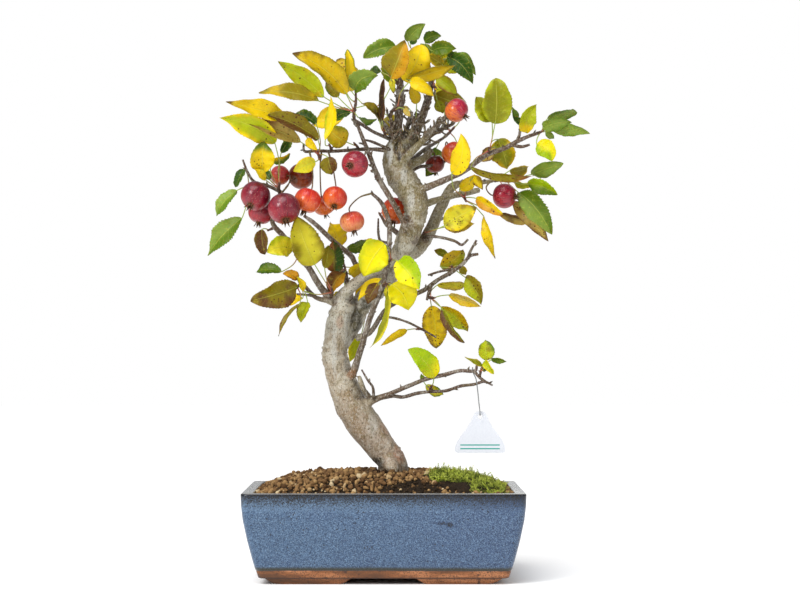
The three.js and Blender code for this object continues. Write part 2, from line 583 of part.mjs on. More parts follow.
// Leafy spurs: a short twig of [x, y, z, radius], then one row for each leaf:
// twig point that its stalk leaves, blade base, blade tip, width, roll and fold in degrees,
// arch out of its plane, bend in its plane.
const sprays = {
  spray_top_left: {
    colour: 0xb8a030,
    twig: [[-32, -35, 495, 2], [-32, -38, 504, 1.7], [-30, -41, 513, 1.5], [-30, -43, 522, 1.1]],
    leaves: [
      [1, -40, -52, 521, -97, -66, 562, 29, 20, 26, 6, 5],
      [1, -64, -44, 519, -113, -50, 556, 23, -15, 16, -5, 2],
      [1, -69, -56, 513, -133, -60, 521, 20, 25, 18, 5, 3],
      [2, -40, -36, 525, -40, -30, 572, 19, 40, 20, 6, -2],
      [3, -31, -44, 525, -6, -58, 540, 24, 10, 26, 4, -7],
      [1, -28, -44, 498, -7, -58, 494, 13, 66, 10, 4, 0],
      [1, -49, -34, 520, -63, -28, 536, 14, 10, 20, 3, 0],
    ],
  },
  spray_left_tip: {
    colour: 0xc8a82c,
    twig: [[-72, -37, 461, 1.7], [-70, -41, 457, 1.6], [-69, -45, 453, 1.4]],
    leaves: [
      [2, -73, -58, 448, -96, -66, 437, 17, -10, 16, 3, 1],
      [1, -70, -60, 471, -124, -86, 495, 23, 25, 30, 5, 2],
      [1, -102, -66, 494, -165, -96, 507, 23, 22, 20, 7, -3],
      [1, -60, -50, 454, -55, -46, 436, 21, 10, 26, 2, 0],
      [1, -73, -28, 492, -99, -20, 502, 16, 35, 24, 3, 2],
    ],
  },
  spray_left_strap: {
    colour: 0xe0c81c,
    twig: [[-57, -33, 462, 1.6], [-57, -38, 465, 1.4], [-58, -41, 467, 1.2]],
    leaves: [
      [2, -62, -68, 470, -56, -76, 516, 16, -35, 30, -5, 3],
    ],
  },
  spray_left_mid: {
    colour: 0xb0a030,
    twig: [[-27, -21, 465, 1.6], [-29, -26, 468, 1.4], [-31, -29, 470, 1.2]],
    leaves: [
      [1, -40, -40, 471, -62, -50, 487, 25, 5, 18, 3, -2],
    ],
  },
  spray_apple_cluster: {
    colour: 0xb4ac2c,
    twig: [[-111, -51, 415, 1.9], [-112, -57, 420, 1.7], [-111, -60, 424, 1.4]],
    leaves: [
      [2, -116, -60, 468, -173, -84, 492, 28, -20, 22, 5, 8],
      [1, -128, -64, 438, -126, -72, 468, 29, 8, 26, 4, -2],
      [1, -122, -44, 430, -132, -34, 439, 12, 20, 20, 2, 0],
      [1, -121, -48, 451, -101, -40, 459, 10, 40, 20, 3, 2],
      [2, -110, -46, 459, -100, -40, 476, 12, 25, 24, 2, -1],
    ],
  },
  spray_far_left: {
    colour: 0x5c8034,
    twig: [[-140, -55, 426, 1.5], [-144, -52, 423, 1.3], [-148, -48, 420, 1.2]],
    leaves: [
      [1, -149, -52, 441, -159, -46, 422, 13, 35, 20, 3, -2],
      [1, -158, -40, 419, -181, -30, 392, 17, 30, 14, 5, 0],
      [2, -153, -32, 390, -191, -16, 350, 25, 24, 18, 6, 0],
    ],
  },
  spray_left_branch: {
    colour: 0x7c6c2c,
    twig: [[-116, -40, 380, 1.7], [-121, -35, 378, 1.5], [-124, -31, 377, 1.2]],
    leaves: [
      [2, -132, -27, 378, -129, -18, 351, 18, 20, 26, 3, 0],
    ],
  },
  spray_fork: {
    colour: 0xa8ac38,
    twig: [[-58, -9, 305, 2], [-56, -16, 310, 1.6], [-57, -20, 314, 1.3]],
    leaves: [
      [1, -74, -46, 339, -93, -64, 390, 37, 12, 22, 8, -3],
      [2, -64, -30, 336, -60, -24, 361, 16, 20, 24, 3, 0],
    ],
  },
  spray_left_low: {
    colour: 0xb4bc40,
    twig: [[-88, -24, 346, 1.8], [-91, -30, 350, 1.5], [-91, -34, 352, 1.3]],
    leaves: [
      [1, -98, -48, 355, -124, -60, 351, 26, 12, 22, 3, 3],
      [1, -111, -26, 332, -139, -14, 332, 15, 30, 22, 4, 1],
    ],
  },
  spray_low_left: {
    colour: 0xa89030,
    twig: [[-88, -25, 320, 1.7], [-91, -30, 318, 1.5], [-93, -34, 315, 1.3]],
    leaves: [
      [1, -93, -40, 323, -108, -50, 329, 12, 15, 24, 2, 2],
      [2, -93, -42, 315, -142, -58, 300, 32, -22, 20, 6, 1],
      [1, -88, -24, 303, -110, -14, 295, 14, 20, 20, 3, 2],
      [1, -82, -36, 299, -89, -44, 277, 16, 25, 20, 3, 0],
      [2, -90, -50, 296, -112, -56, 262, 9, 50, 28, 4, 0],
    ],
  },
  spray_fork_back: {
    colour: 0x6c6a2c,
    twig: [[-42, 14, 331, 1.4], [-43, 18, 337, 1.3], [-44, 22, 341, 1.2]],
    leaves: [
      [1, -55, 8, 333, -56, 0, 368, 24, 10, 26, 4, 0],
      [2, -41, 30, 361, -20, 40, 371, 16, 34, 18, 3, 2],
      [1, -43, 2, 332, -58, -6, 307, 20, 18, 20, 3, 3],
      [1, -37, 10, 330, -23, 2, 343, 15, 12, 18, 3, 0],
    ],
  },
  spray_centre_top: {
    colour: 0xe8e414,
    twig: [[5, -24, 343, 1.5], [7, -28, 344, 1.4], [8, -31, 345, 1.2]],
    leaves: [
      [2, 1, -46, 361, -21, -52, 326, 34, -8, 10, 4, 3],
      [1, 15, -46, 343, 38, -64, 311, 29, 14, 16, 5, -3],
    ],
  },
  spray_centre_low: {
    colour: 0xe4d816,
    twig: [[-1, -25, 317, 1.6], [2, -30, 318, 1.4], [5, -33, 319, 1.2]],
    leaves: [
      [2, 8, -42, 318, 27, -46, 290, 33, -14, 16, 5, -3],
      [1, 5, -34, 311, -15, -30, 250, 17, 56, 24, 6, -16],
    ],
  },
  spray_fork_front: {
    colour: 0xb89c2c,
    twig: [[-20, 24, 299, 1.8], [-20, 36, 296, 1.5], [-21, 44, 294, 1.3]],
    leaves: [
      [1, -6, 34, 327, -30, 30, 302, 17, 40, 22, 4, 3],
      [1, -8, 42, 321, -17, 50, 293, 18, 14, 24, 3, 0],
      [2, -26, 48, 262, -38, 44, 234, 16, 14, 16, 3, 0],
    ],
  },
  spray_low_twig: {
    colour: 0xd0b828,
    twig: [[42, -15, 270, 1.3], [39, -18, 270, 1.2], [37, -20, 270, 1.1]],
    leaves: [
      [1, 25, -26, 269, -3, -38, 252, 11, 30, 28, 3, -2],
    ],
  },
  spray_low_right: {
    colour: 0xb89830,
    twig: [[49, -9, 305, 1.8], [51, -14, 304, 1.6], [54, -18, 304, 1.4]],
    leaves: [
      [1, 52, 0, 296, 58, 8, 249, 28, 8, 12, 4, -2],
      [2, 71, -28, 307, 105, -38, 294, 14, 30, 30, 4, -3],
      [1, 62, -16, 294, 92, -6, 268, 20, 22, 26, 5, -4],
      [1, 63, -30, 292, 87, -36, 255, 13, 42, 30, 4, 0],
      [1, 59, 10, 319, 93, 20, 319, 13, 34, 24, 4, -3],
    ],
  },
  spray_right_mid: {
    colour: 0xb0a038,
    twig: [[75, 2, 335, 1.5], [75, 8, 338, 1.4], [75, 12, 339, 1.2]],
    leaves: [
      [1, 62, 20, 340, 88, 28, 359, 23, 8, 20, 3, 3],
      [2, 72, 32, 350, 56, 38, 359, 10, 20, 16, 2, 0],
      [1, 90, 10, 327, 107, 4, 297, 21, 20, 26, 4, -4],
    ],
  },
  spray_trunk_right: {
    colour: 0xd0bc34,
    twig: [[44, 18, 374, 2], [44, 10, 376, 1.6], [45, 6, 377, 1.3]],
    leaves: [
      [1, 66, -8, 383, 101, -16, 403, 28, 6, 12, 4, -1],
      [1, 67, -5, 382, 99, -12, 385, 16, 4, 8, 3, 0],
    ],
  },
  spray_second_right: {
    colour: 0xd0ac28,
    twig: [[87, 18, 419, 1.8], [89, 12, 415, 1.5], [90, 8, 412, 1.3]],
    leaves: [
      [1, 73, -46, 437, 82, -62, 478, 22, -16, 12, 5, 8],
      [1, 83, -2, 424, 99, -12, 439, 15, 14, 16, 2, 2],
      [1, 97, -18, 435, 107, -26, 421, 11, 20, 14, 2, -2],
      [1, 101, -8, 413, 130, -22, 393, 15, 26, 26, 4, -2],
      [2, 128, 18, 398, 163, 30, 389, 13, 34, 26, 4, -2],
      [2, 109, -6, 394, 122, -2, 347, 16, 48, 34, 5, -6],
    ],
  },
  spray_right_back_tip: {
    colour: 0x74983a,
    twig: [[124, 37, 436, 1.6], [129, 31, 436, 1.4], [136, 26, 435, 1.3]],
    leaves: [
      [1, 143, 16, 411, 181, 6, 367, 19, 34, 26, 6, -6],
      [2, 148, 2, 420, 183, -14, 373, 26, 14, 20, 7, -5],
      [2, 159, 8, 430, 190, -6, 417, 18, 16, 24, 4, -3],
      [1, 144, 22, 435, 166, 16, 433, 13, 56, 18, 3, 2],
      [1, 140, 34, 447, 162, 44, 453, 14, 34, 18, 3, 1],
      [1, 164, 24, 442, 198, 10, 453, 18, 20, 16, 5, -2],
    ],
  },
  spray_right_mid_branch: {
    colour: 0x8c9c30,
    twig: [[114, -34, 459, 1.6], [113, -39, 462, 1.5], [114, -42, 464, 1.2]],
    leaves: [
      [2, 119, -52, 489, 119, -60, 537, 31, 6, 14, 5, 1],
      [2, 116, -49, 492, 99, -54, 518, 21, 4, 8, 3, 0],
      [2, 122, -20, 466, 106, -10, 453, 15, 16, 16, 2, 0],
      [1, 124, -14, 477, 135, -8, 445, 30, 18, 18, 3, -2],
      [1, 93, -56, 442, 160, -60, 433, 18, 40, 34, 5, 2],
    ],
  },
  spray_right_upper: {
    colour: 0xa0ac34,
    twig: [[146, -39, 484, 1.4], [148, -40, 487, 1.3], [149, -41, 490, 1.1]],
    leaves: [
      [1, 153, -46, 487, 138, -52, 497, 11, 24, 18, 2, -2],
      [1, 153, -50, 480, 163, -62, 509, 21, 18, 30, 3, -6],
      [2, 142, -44, 492, 138, -38, 509, 8, 30, 18, 2, 0],
    ],
  },
  spray_right_tip: {
    colour: 0x6c9038,
    twig: [[164, -46, 480, 1.5], [168, -47, 481, 1.4], [170, -48, 482, 1.2]],
    leaves: [
      [2, 176, -40, 496, 209, -32, 504, 15, 40, 20, 5, -5],
      [2, 170, -56, 484, 200, -66, 489, 18, 34, 18, 4, -5],
      [1, 180, -50, 482, 220, -58, 478, 16, 38, 20, 5, -7],
      [1, 164, -46, 468, 180, -54, 449, 21, 8, 14, 3, -4],
    ],
  },
  spray_crown_left: {
    colour: 0x9c8434,
    twig: [[17, -13, 536, 2], [11, -17, 541, 1.7], [7, -20, 546, 1.4]],
    leaves: [
      [2, 13, -14, 578, -22, -8, 566, 21, 14, 22, 4, 2],
      [1, 8, -48, 540, 23, -60, 577, 32, -16, 22, 5, 2],
    ],
  },
  spray_crown_top: {
    colour: 0xdcb820,
    twig: [[17, -17, 548, 2.2], [22, -14, 557, 1.8], [26, -12, 566, 1.5], [31, -10, 575, 1.2]],
    leaves: [
      [1, 22, -40, 537, 41, -50, 577, 32, 14, 14, 5, 2],
      [1, 26, -46, 537, 76, -56, 551, 17, 34, 24, 4, -2],
      [3, 26, -14, 584, 45, -24, 601, 21, 20, 22, 3, -3],
    ],
  },
  spray_crown_front: {
    colour: 0xe0bc1c,
    twig: [[8, -14, 507, 1.4], [12, -19, 508, 1.3], [15, -24, 511, 1.1]],
    leaves: [
      [2, 28, -66, 533, 53, -72, 516, 16, 30, 20, 4, -5],
    ],
  },
  spray_crown_right: {
    colour: 0x4c8034,
    twig: [[57, 21, 554, 1.8], [61, 18, 559, 1.6], [63, 14, 565, 1.4], [62, 10, 571, 1.1]],
    leaves: [
      [3, 45, 4, 586, 63, -4, 591, 14, 10, 20, 2, -3],
      [3, 52, -8, 574, 79, -16, 575, 16, 18, 20, 3, -3],
      [1, 69, -6, 568, 97, -14, 537, 20, 14, 24, 5, -6],
      [2, 85, 16, 576, 101, 8, 550, 12, 24, 14, 3, -2],
      [1, 62, 4, 564, 51, 0, 570, 11, 14, 14, 1, 0],
    ],
  },
  spray_crown_low: {
    colour: 0xa8a434,
    twig: [[52, 22, 541, 1.8], [55, 16, 539, 1.6], [57, 12, 537, 1.3]],
    leaves: [
      [1, 58, -2, 545, 80, -10, 525, 17, 10, 24, 3, -2],
      [1, 56, 32, 532, 92, 44, 524, 25, 12, 16, 5, 2],
      [1, 59, 24, 525, 66, 32, 511, 12, 14, 16, 2, 0],
    ],
  },
  spray_crown_mid: {
    colour: 0x989034,
    twig: [[31, 12, 481, 1.8], [32, 14, 487, 1.6], [33, 14, 492, 1.3]],
    leaves: [
      [2, 36, 6, 518, 29, 2, 537, 14, 16, 16, 2, 0],
    ],
  },
  spray_crown_dry: {
    colour: 0x5c4030,
    twig: [[2, -6, 481, 1.5], [0, -10, 486, 1.3], [-1, -12, 489, 1.1]],
    leaves: [
      [2, -2, -28, 495, 0, -36, 540, 15, 46, 34, 4, 3],
      [1, -5, -30, 495, -24, -38, 513, 14, 40, 26, 3, 2],
    ],
  },
  spray_low_branch: {
    colour: 0xb4cc18,
    twig: [[50, -15, 202, 1.5], [51, -20, 206, 1.3], [52, -23, 208, 1.1]],
    leaves: [
      [2, 54, -34, 217, 26, -44, 248, 24, 12, 14, 5, 4],
      [1, 46, -2, 209, 65, 6, 198, 12, 14, 14, 3, 0],
    ],
  },
  spray_low_branch_end: {
    colour: 0x749038,
    twig: [[103, -45, 219, 1.4], [104, -47, 224, 1.3], [105, -48, 228, 1.2]],
    leaves: [
      [2, 110, -46, 236, 109, -40, 258, 19, 10, 14, 2, 0],
      [2, 115, -54, 237, 131, -62, 235, 8, 36, 20, 2, -2],
      [1, 107, -56, 230, 86, -64, 240, 8, 44, 24, 2, -3],
      [1, 107, -62, 235, 117, -68, 222, 10, 34, 26, 4, -3],
    ],
  },
  spray_back_crown_left: {
    colour: 0xa8a030,
    twig: [[-6, 74, 512, 1.8], [-12, 82, 521, 1.5], [-16, 88, 528, 1.3]],
    leaves: [
      [1, -37, 84, 542, -55, 92, 579, 27, 10, 18, 5, 3],
      [1, 9, 94, 552, 23, 100, 587, 29, -10, 18, 5, -3],
      [2, -46, 96, 520, -83, 104, 507, 25, 14, 18, 5, -3],
    ],
  },
  spray_back_crown_right: {
    colour: 0xa0a834,
    twig: [[69, 81, 490, 1.8], [75, 88, 496, 1.5], [80, 94, 502, 1.3]],
    leaves: [
      [1, 69, 96, 520, 60, 104, 556, 27, 14, 18, 5, 3],
      [1, 59, 70, 476, 47, 66, 444, 22, -10, 18, 4, -3],
      [2, 87, 90, 510, 81, 84, 536, 19, 40, 18, 3, 0],
    ],
  },
  spray_back_low: {
    colour: 0x8c9c34,
    twig: [[-47, 87, 337, 1.8], [-53, 94, 343, 1.5], [-58, 98, 348, 1.3]],
    leaves: [
      [2, -83, 100, 357, -102, 108, 386, 30, 12, 18, 5, 3],
      [1, -51, 104, 367, -62, 98, 394, 38, 50, 18, 4, -3],
      [1, -44, 86, 313, -50, 80, 284, 27, -14, 18, 5, 3],
    ],
  },
  spray_back_mid: {
    colour: 0x8c9434,
    twig: [[1, 82, 392, 1.8], [-2, 90, 398, 1.5], [-5, 95, 403, 1.3]],
    leaves: [
      [1, 18, 98, 406, 30, 106, 436, 25, 10, 18, 5, 3],
      [1, 20, 88, 373, 34, 82, 343, 27, 14, 18, 5, 3],
      [2, 20, 88, 423, 23, 80, 454, 33, 44, 18, 4, 2],
    ],
  },
};

// The two directions across a blade: its side and its upper face, turned by roll about its length.
function bladeFrame(base, tip, roll) {
  const axis = tip.clone().sub(base);
  const along = axis.clone().normalize();
  const toViewer = new THREE.Vector3(0, -1, 0);
  const face = toViewer.addScaledVector(along, -toViewer.dot(along)).normalize();
  const side = new THREE.Vector3().crossVectors(along, face);
  const turn = THREE.MathUtils.degToRad(roll);
  return {
    axis,
    up: face.clone().multiplyScalar(Math.cos(turn)).addScaledVector(side, Math.sin(turn)),
    side: side.clone().multiplyScalar(Math.cos(turn)).addScaledVector(face, -Math.sin(turn)),
  };
}

// Share of the full width at a share of the length: rounded at the stalk, pointed at the tip.
function bladeOutline(share) {
  return Math.sin(Math.PI * share ** 0.82) ** 0.78;
}

// Four corners round a point of a leaf's stalk: upper left, upper right, lower right, lower left.
function stalkCorners(centre, across, face) {
  const half = petioleRadius * 0.75;
  const signs = [[-1, 1], [1, 1], [1, -1], [-1, -1]];
  return signs.map(([x, y]) =>
    centre.clone().addScaledVector(across, x * half).addScaledVector(face, y * half),
  );
}

// One leaf as a closed body: its stalk, then a folded, rippled and toothed blade of even thickness.
function leafSolid(start, row, index) {
  const [, bx, by, bz, tx, ty, tz, width, roll, fold, arch, bend] = row;
  const base = new THREE.Vector3(bx, by, bz);
  const { axis, up, side } = bladeFrame(base, new THREE.Vector3(tx, ty, tz), roll);
  const foldAngle = THREE.MathUtils.degToRad(fold);
  const length = axis.length();
  const steps = length > 56 ? 5 : length > 34 ? 4 : length > 20 ? 3 : 2;
  const bladeAt = (share) => {
    const hump = 4 * share * (1 - share);
    const lean = 4 * (1 - 2 * share);
    const middle = base
      .clone()
      .addScaledVector(axis, share)
      .addScaledVector(up, arch * hump)
      .addScaledVector(side, bend * hump);
    const along = axis.clone().addScaledVector(up, arch * lean).addScaledVector(side, bend * lean);
    along.normalize();
    const across = side.clone().addScaledVector(along, -side.dot(along)).normalize();
    return { middle, along, across, face: new THREE.Vector3().crossVectors(across, along) };
  };
  const root = bladeAt(0);
  const points = [];
  const triangles = [];
  const triangle = (a, b, c) => triangles.push(a, b, c);
  const quad = (a, b, c, d) => triangles.push(a, b, c, a, c, d);

  const from = new THREE.Vector3(...start);
  const bow = from.clone().lerp(base, 0.55).addScaledVector(root.along, -0.12 * from.distanceTo(base));
  const stem = from.distanceTo(base) > straightStalk ? [from, bow, base] : [from, base];
  const frames = [{ across: root.across, face: root.face }];
  for (let k = stem.length - 2; k >= 0; k--) {
    const along = stem[k + 1].clone().sub(stem[k]).normalize();
    const across = frames[0].across.clone();
    across.addScaledVector(along, -across.dot(along)).normalize();
    frames.unshift({ across, face: new THREE.Vector3().crossVectors(across, along) });
  }
  stem.forEach((p, k) => points.push(...stalkCorners(p, frames[k].across, frames[k].face)));
  quad(0, 3, 2, 1);
  for (let k = 0; k + 1 < stem.length; k++) {
    for (let i = 0; i < 4; i++) {
      const j = (i + 1) % 4;
      quad(4 * k + i, 4 * k + j, 4 * k + j + 4, 4 * k + i + 4);
    }
  }

  // Six points at each inner station of the blade: upper left, middle, right, lower right, middle, left.
  for (let k = 1; k < steps; k++) {
    const share = k / steps;
    const { middle, across, face } = bladeAt(share);
    const tooth = k % 2 ? 1 + toothDepth : 1 - toothDepth;
    const half = 0.5 * width * bladeOutline(share) * tooth;
    const ripple = waveShare * width * Math.sin(9 * share + 2 * index);
    const edge = (sign) =>
      middle
        .clone()
        .addScaledVector(across, sign * half * Math.cos(foldAngle))
        .addScaledVector(face, half * Math.sin(foldAngle) + sign * ripple);
    const line = [edge(-1), middle, edge(1)];
    points.push(...line.map((p) => p.clone().addScaledVector(face, bladeThickness / 2)));
    points.push(...line.reverse().map((p) => p.clone().addScaledVector(face, -bladeThickness / 2)));
  }
  const end = bladeAt(1);
  points.push(end.middle.clone().addScaledVector(end.face, bladeThickness / 2));
  points.push(end.middle.clone().addScaledVector(end.face, -bladeThickness / 2));

  const foot = 4 * (stem.length - 1);
  const first = foot + 4;
  triangle(foot, first + 1, first);
  triangle(foot, foot + 1, first + 1);
  triangle(foot + 1, first + 2, first + 1);
  triangle(foot + 3, first + 5, first + 4);
  triangle(foot + 3, first + 4, foot + 2);
  triangle(foot + 2, first + 4, first + 3);
  quad(foot + 1, foot + 2, first + 3, first + 2);
  quad(foot + 3, foot, first, first + 5);
  for (let k = 1; k + 1 < steps; k++) {
    const a = first + 6 * (k - 1);
    const b = a + 6;
    quad(a, a + 1, b + 1, b);
    quad(a + 1, a + 2, b + 2, b + 1);
    triangle(a + 4, a + 5, b + 4);
    triangle(a + 5, b + 5, b + 4);
    triangle(a + 3, a + 4, b + 3);
    triangle(a + 4, b + 4, b + 3);
    quad(a + 2, a + 3, b + 3, b + 2);
    quad(a + 5, a, b, b + 5);
  }
  const last = first + 6 * (steps - 2);
  const point = last + 6;
  triangle(last, last + 1, point);
  triangle(last + 1, last + 2, point);
  triangle(last + 5, point + 1, last + 4);
  triangle(last + 4, point + 1, last + 3);
  quad(last + 2, last + 3, point + 1, point);
  quad(last + 5, last, point, point + 1);
  return solidOf(geometryFrom(points, triangles));
}

function makeSpray(spray, woodHole) {
  const pieces = [tube(spray.twig, { sides: 4 })];
  spray.leaves.forEach((row, index) => {
    const [x, y, z] = spray.twig[row[0]];
    pieces.push(leafSolid([x, y, z], row, index));
  });
  return largestBody(fuse(pieces).subtract(woodHole));
}

const apples = {
  apple_1: {
    centre: [-136, -68, 411], radius: 15.9, squash: 0.97,
    calyx: [-0.35, -0.55, -0.75], stalkEnd: [-124, -52, 423], colour: 0x7c3048,
  },
  apple_2: {
    centre: [-105, -78, 397], radius: 17.1, squash: 0.96,
    calyx: [0.15, -0.5, -0.85], stalkEnd: [-109, -51, 416], colour: 0x7c3048,
  },
  apple_3: {
    centre: [-132, -40, 396], radius: 14, squash: 0.97,
    calyx: [-0.2, -0.2, -0.95], stalkEnd: [-119, -46, 398], colour: 0x98304a,
  },
  apple_4: {
    centre: [-81, -58, 407], radius: 14.3, squash: 0.98,
    calyx: [-0.3, -0.1, -0.95], stalkEnd: [-80, -41, 461], colour: 0xe06038,
  },
  apple_5: {
    centre: [-52, -52, 410], radius: 13.3, squash: 0.93,
    calyx: [-0.05, -0.6, -0.8], stalkEnd: [-60, -33, 462], colour: 0xe8743c,
  },
  apple_6: {
    centre: [-65, -28, 404], radius: 11.9, squash: 0.95,
    calyx: [0.2, 0.3, -0.9], stalkEnd: [-67, -36, 462], colour: 0xe8743c,
  },
  apple_7: {
    centre: [-112, -34, 436], radius: 10.6, squash: 1.0,
    calyx: [-0.7, 0.3, 0.1], stalkEnd: [-108, -49, 417], colour: 0xd86050,
  },
  apple_8: {
    centre: [-90, -21, 436], radius: 14.1, squash: 0.97,
    calyx: [0.5, 0.6, 0.3], stalkEnd: [-112, -46, 409], colour: 0x984830,
  },
  apple_9: {
    centre: [-31, -46, 447], radius: 14.5, squash: 0.95,
    calyx: [-0.35, -0.85, -0.2], stalkEnd: [-19, -18, 465], colour: 0xa03048,
  },
  apple_10: {
    centre: [-34, -34, 386], radius: 13.4, squash: 0.9,
    calyx: [0.2, -0.1, -0.97], stalkEnd: [-14, -23, 417], colour: 0xe06038,
  },
  apple_11: {
    centre: [13, 28, 402], radius: 15.6, squash: 0.97,
    calyx: [-0.2, -0.3, -0.9], stalkEnd: [22, 10, 424], colour: 0xe0603c,
  },
  apple_12: {
    centre: [57, 36, 455], radius: 10.7, squash: 1.0,
    calyx: [0.1, 0.2, -0.95], stalkEnd: [44, 20, 466], colour: 0x843024,
  },
  apple_13: {
    centre: [77, 24, 466], radius: 12.9, squash: 0.98,
    calyx: [0.5, -0.2, -0.8], stalkEnd: [70, 36, 458], colour: 0xe8743c,
  },
  apple_14: {
    centre: [78, -50, 504], radius: 12.8, squash: 0.98,
    calyx: [0.62, -0.2, -0.5], stalkEnd: [72, -38, 499], colour: 0xd06858,
  },
  apple_15: {
    centre: [132, -4, 416], radius: 13.7, squash: 0.98,
    calyx: [0.85, -0.35, -0.1], stalkEnd: [118, 38, 435], colour: 0xa03048,
  },
};

// A crab apple: fruit with a dimple at each end, dry sepals in the lower one, a long stalk in the upper.
function makeApple({ centre, radius, squash, calyx, stalkEnd }, woodHole) {
  const down = new THREE.Vector3(...calyx).normalize();
  const up = down.clone().negate();
  const middle = new THREE.Vector3(...centre);
  const angles = [-90, -58, -20, 18, 56, 90];
  const profile = angles.map((degrees) => {
    const angle = THREE.MathUtils.degToRad(degrees);
    const r = radius * Math.cos(angle);
    const dimple = (degrees > 0 ? 0.2 : 0.12) * radius * Math.exp(-((r / (0.4 * radius)) ** 2));
    const height = radius * squash * Math.sin(angle) - Math.sign(degrees) * dimple;
    return new THREE.Vector2(Math.abs(degrees) === 90 ? 0 : r, height);
  });
  const turn = new THREE.Quaternion().setFromUnitVectors(new THREE.Vector3(0, 1, 0), up);
  const place = (geometry) => solidOf(geometry.applyQuaternion(turn).translate(...centre));
  const fruit = place(new THREE.LatheGeometry(profile, 8));
  const sepals = new THREE.CylinderGeometry(0.1 * radius, 0.24 * radius, 0.36 * radius, 4, 1);
  sepals.translate(0, -0.92 * radius * squash, 0);
  const from = middle.clone().addScaledVector(up, 0.6 * radius * squash);
  const leave = middle.clone().addScaledVector(up, 1.15 * radius);
  const end = new THREE.Vector3(...stalkEnd);
  const reach = leave.distanceTo(end);
  const bow = leave.clone().lerp(end, 0.5).addScaledVector(up, 0.12 * reach);
  const path = [from, leave, bow, end].map((p) => [p.x, p.y, p.z, stalkRadius]);
  path[3][3] = stalkFootRadius;
  const stalk = tube(path, { sides: 3 });
  return largestBody(fuse([fruit, place(sepals), stalk]).subtract(woodHole));
}

// Tag: a card with flared sides, its hole in the narrow round top.
const tagHole = { x: 103.5, y: -42, z: 175.8 };
const tagHoleRadius = 2.5;

function makeTag() {
  const half = tagWidth / 2;
  const shape = new THREE.Shape();
  shape.moveTo(-half, -tagHeight + 6);
  shape.lineTo(half, -tagHeight + 6);
  shape.lineTo(half, -tagHeight + 19);
  shape.quadraticCurveTo(14, -12, 7, 2);
  shape.quadraticCurveTo(0, 9, -7, 2);
  shape.quadraticCurveTo(-14, -12, -half, -tagHeight + 19);
  shape.closePath();
  shape.holes.push(new THREE.Path().absarc(0, 0, tagHoleRadius, 0, 2 * Math.PI));
  const options = { depth: tagThickness, bevelEnabled: false, curveSegments: 5 };
  const card = new THREE.ExtrudeGeometry(shape, options);
  card.rotateX(Math.PI / 2).translate(tagHole.x, tagHole.y + tagThickness / 2, tagHole.z);
  return solidOf(card);
}

// Wire: a turn round the twig, a drop, and a hook through the hole of the tag.
function makeWire(woodHole) {
  const { x, y, z } = tagHole;
  const drop = [
    [95, -44.6, 225.5], [95.3, -43.2, 228], [95.6, -40.8, 228.4], [96, -38.3, 226],
    [96.4, -38.6, 223.4], [96.9, -40.8, 221.4], [99.2, -42.3, 216], [100.8, -42.8, 205],
    [102.3, -43.6, 190], [x - 0.2, y - 3, z + 4.8], [x, y - 2.4, z + 1.8], [x, y, z + 1.4],
    [x, y + 2.4, z + 2], [x, y + 2.8, z + 5.2],
  ].map((p) => [...p, wireRadius]);
  return largestBody(tube(drop, { sides: 4 }).subtract(woodHole));
}

function meshOf(name, solid, colour, roughness, metalness = 0) {
  const material = new THREE.MeshStandardMaterial({ color: colour, roughness, metalness });
  material.flatShading = true;
  const mesh = new THREE.Mesh(geometryOf(solid), material);
  mesh.name = name;
  return mesh;
}

const bonsai = new THREE.Group();
bonsai.name = "apple_bonsai";

const wood = woodSolid(0);
const woodHole = woodSolid(seatGap);

bonsai.add(meshOf("pot", makePot(), colours.glaze, 0.35));
bonsai.add(meshOf("drain_mesh_left", makeDrainMesh(-drainX), colours.plastic, 0.6));
bonsai.add(meshOf("drain_mesh_right", makeDrainMesh(drainX), colours.plastic, 0.6));
bonsai.add(meshOf("soil", makeSoil(woodHole), colours.soil, 1));
bonsai.add(meshOf("granules", makeGranules(woodHole), colours.granule, 0.95));
bonsai.add(meshOf("moss", makeMoss(), colours.moss, 0.9));
bonsai.add(meshOf("trunk", wood, colours.bark, 0.85));
for (const [name, spray] of Object.entries(sprays)) {
  bonsai.add(meshOf(name, makeSpray(spray, woodHole), spray.colour, 0.55));
}
for (const [name, apple] of Object.entries(apples)) {
  bonsai.add(meshOf(name, makeApple(apple, woodHole), apple.colour, 0.35));
}
bonsai.add(meshOf("tag", makeTag(), colours.tag, 0.5));
bonsai.add(meshOf("tag_wire", makeWire(woodHole), colours.wire, 0.4, 0.8));

bonsai.position.set(treeOffset.x, treeOffset.y, 0);

export default bonsai;
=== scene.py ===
import math
import random

import bpy
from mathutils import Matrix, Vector, kdtree, noise
from mathutils.geometry import tessellate_polygon


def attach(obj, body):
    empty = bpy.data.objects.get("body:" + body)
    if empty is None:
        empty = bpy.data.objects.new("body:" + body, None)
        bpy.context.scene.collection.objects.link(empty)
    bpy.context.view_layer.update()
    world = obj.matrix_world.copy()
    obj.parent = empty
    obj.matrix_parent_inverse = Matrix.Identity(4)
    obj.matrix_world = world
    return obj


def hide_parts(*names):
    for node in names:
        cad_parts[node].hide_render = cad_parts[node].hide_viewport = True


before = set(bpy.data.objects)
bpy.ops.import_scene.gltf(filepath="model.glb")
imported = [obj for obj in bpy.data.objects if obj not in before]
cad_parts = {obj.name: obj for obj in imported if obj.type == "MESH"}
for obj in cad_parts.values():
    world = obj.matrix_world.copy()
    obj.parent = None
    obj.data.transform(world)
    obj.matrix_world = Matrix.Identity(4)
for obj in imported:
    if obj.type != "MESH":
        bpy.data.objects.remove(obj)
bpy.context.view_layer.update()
scene = bpy.context.scene
mm = 0.001
treeOffset = Vector((-14.4, -4.3, 0)) * mm  # how the tree's own drawing sits in the frame
paintDepth = 0.68  # how much light a finish gives back, against the colour seen in soft light
print("frame loaded:", len(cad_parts), "solids")


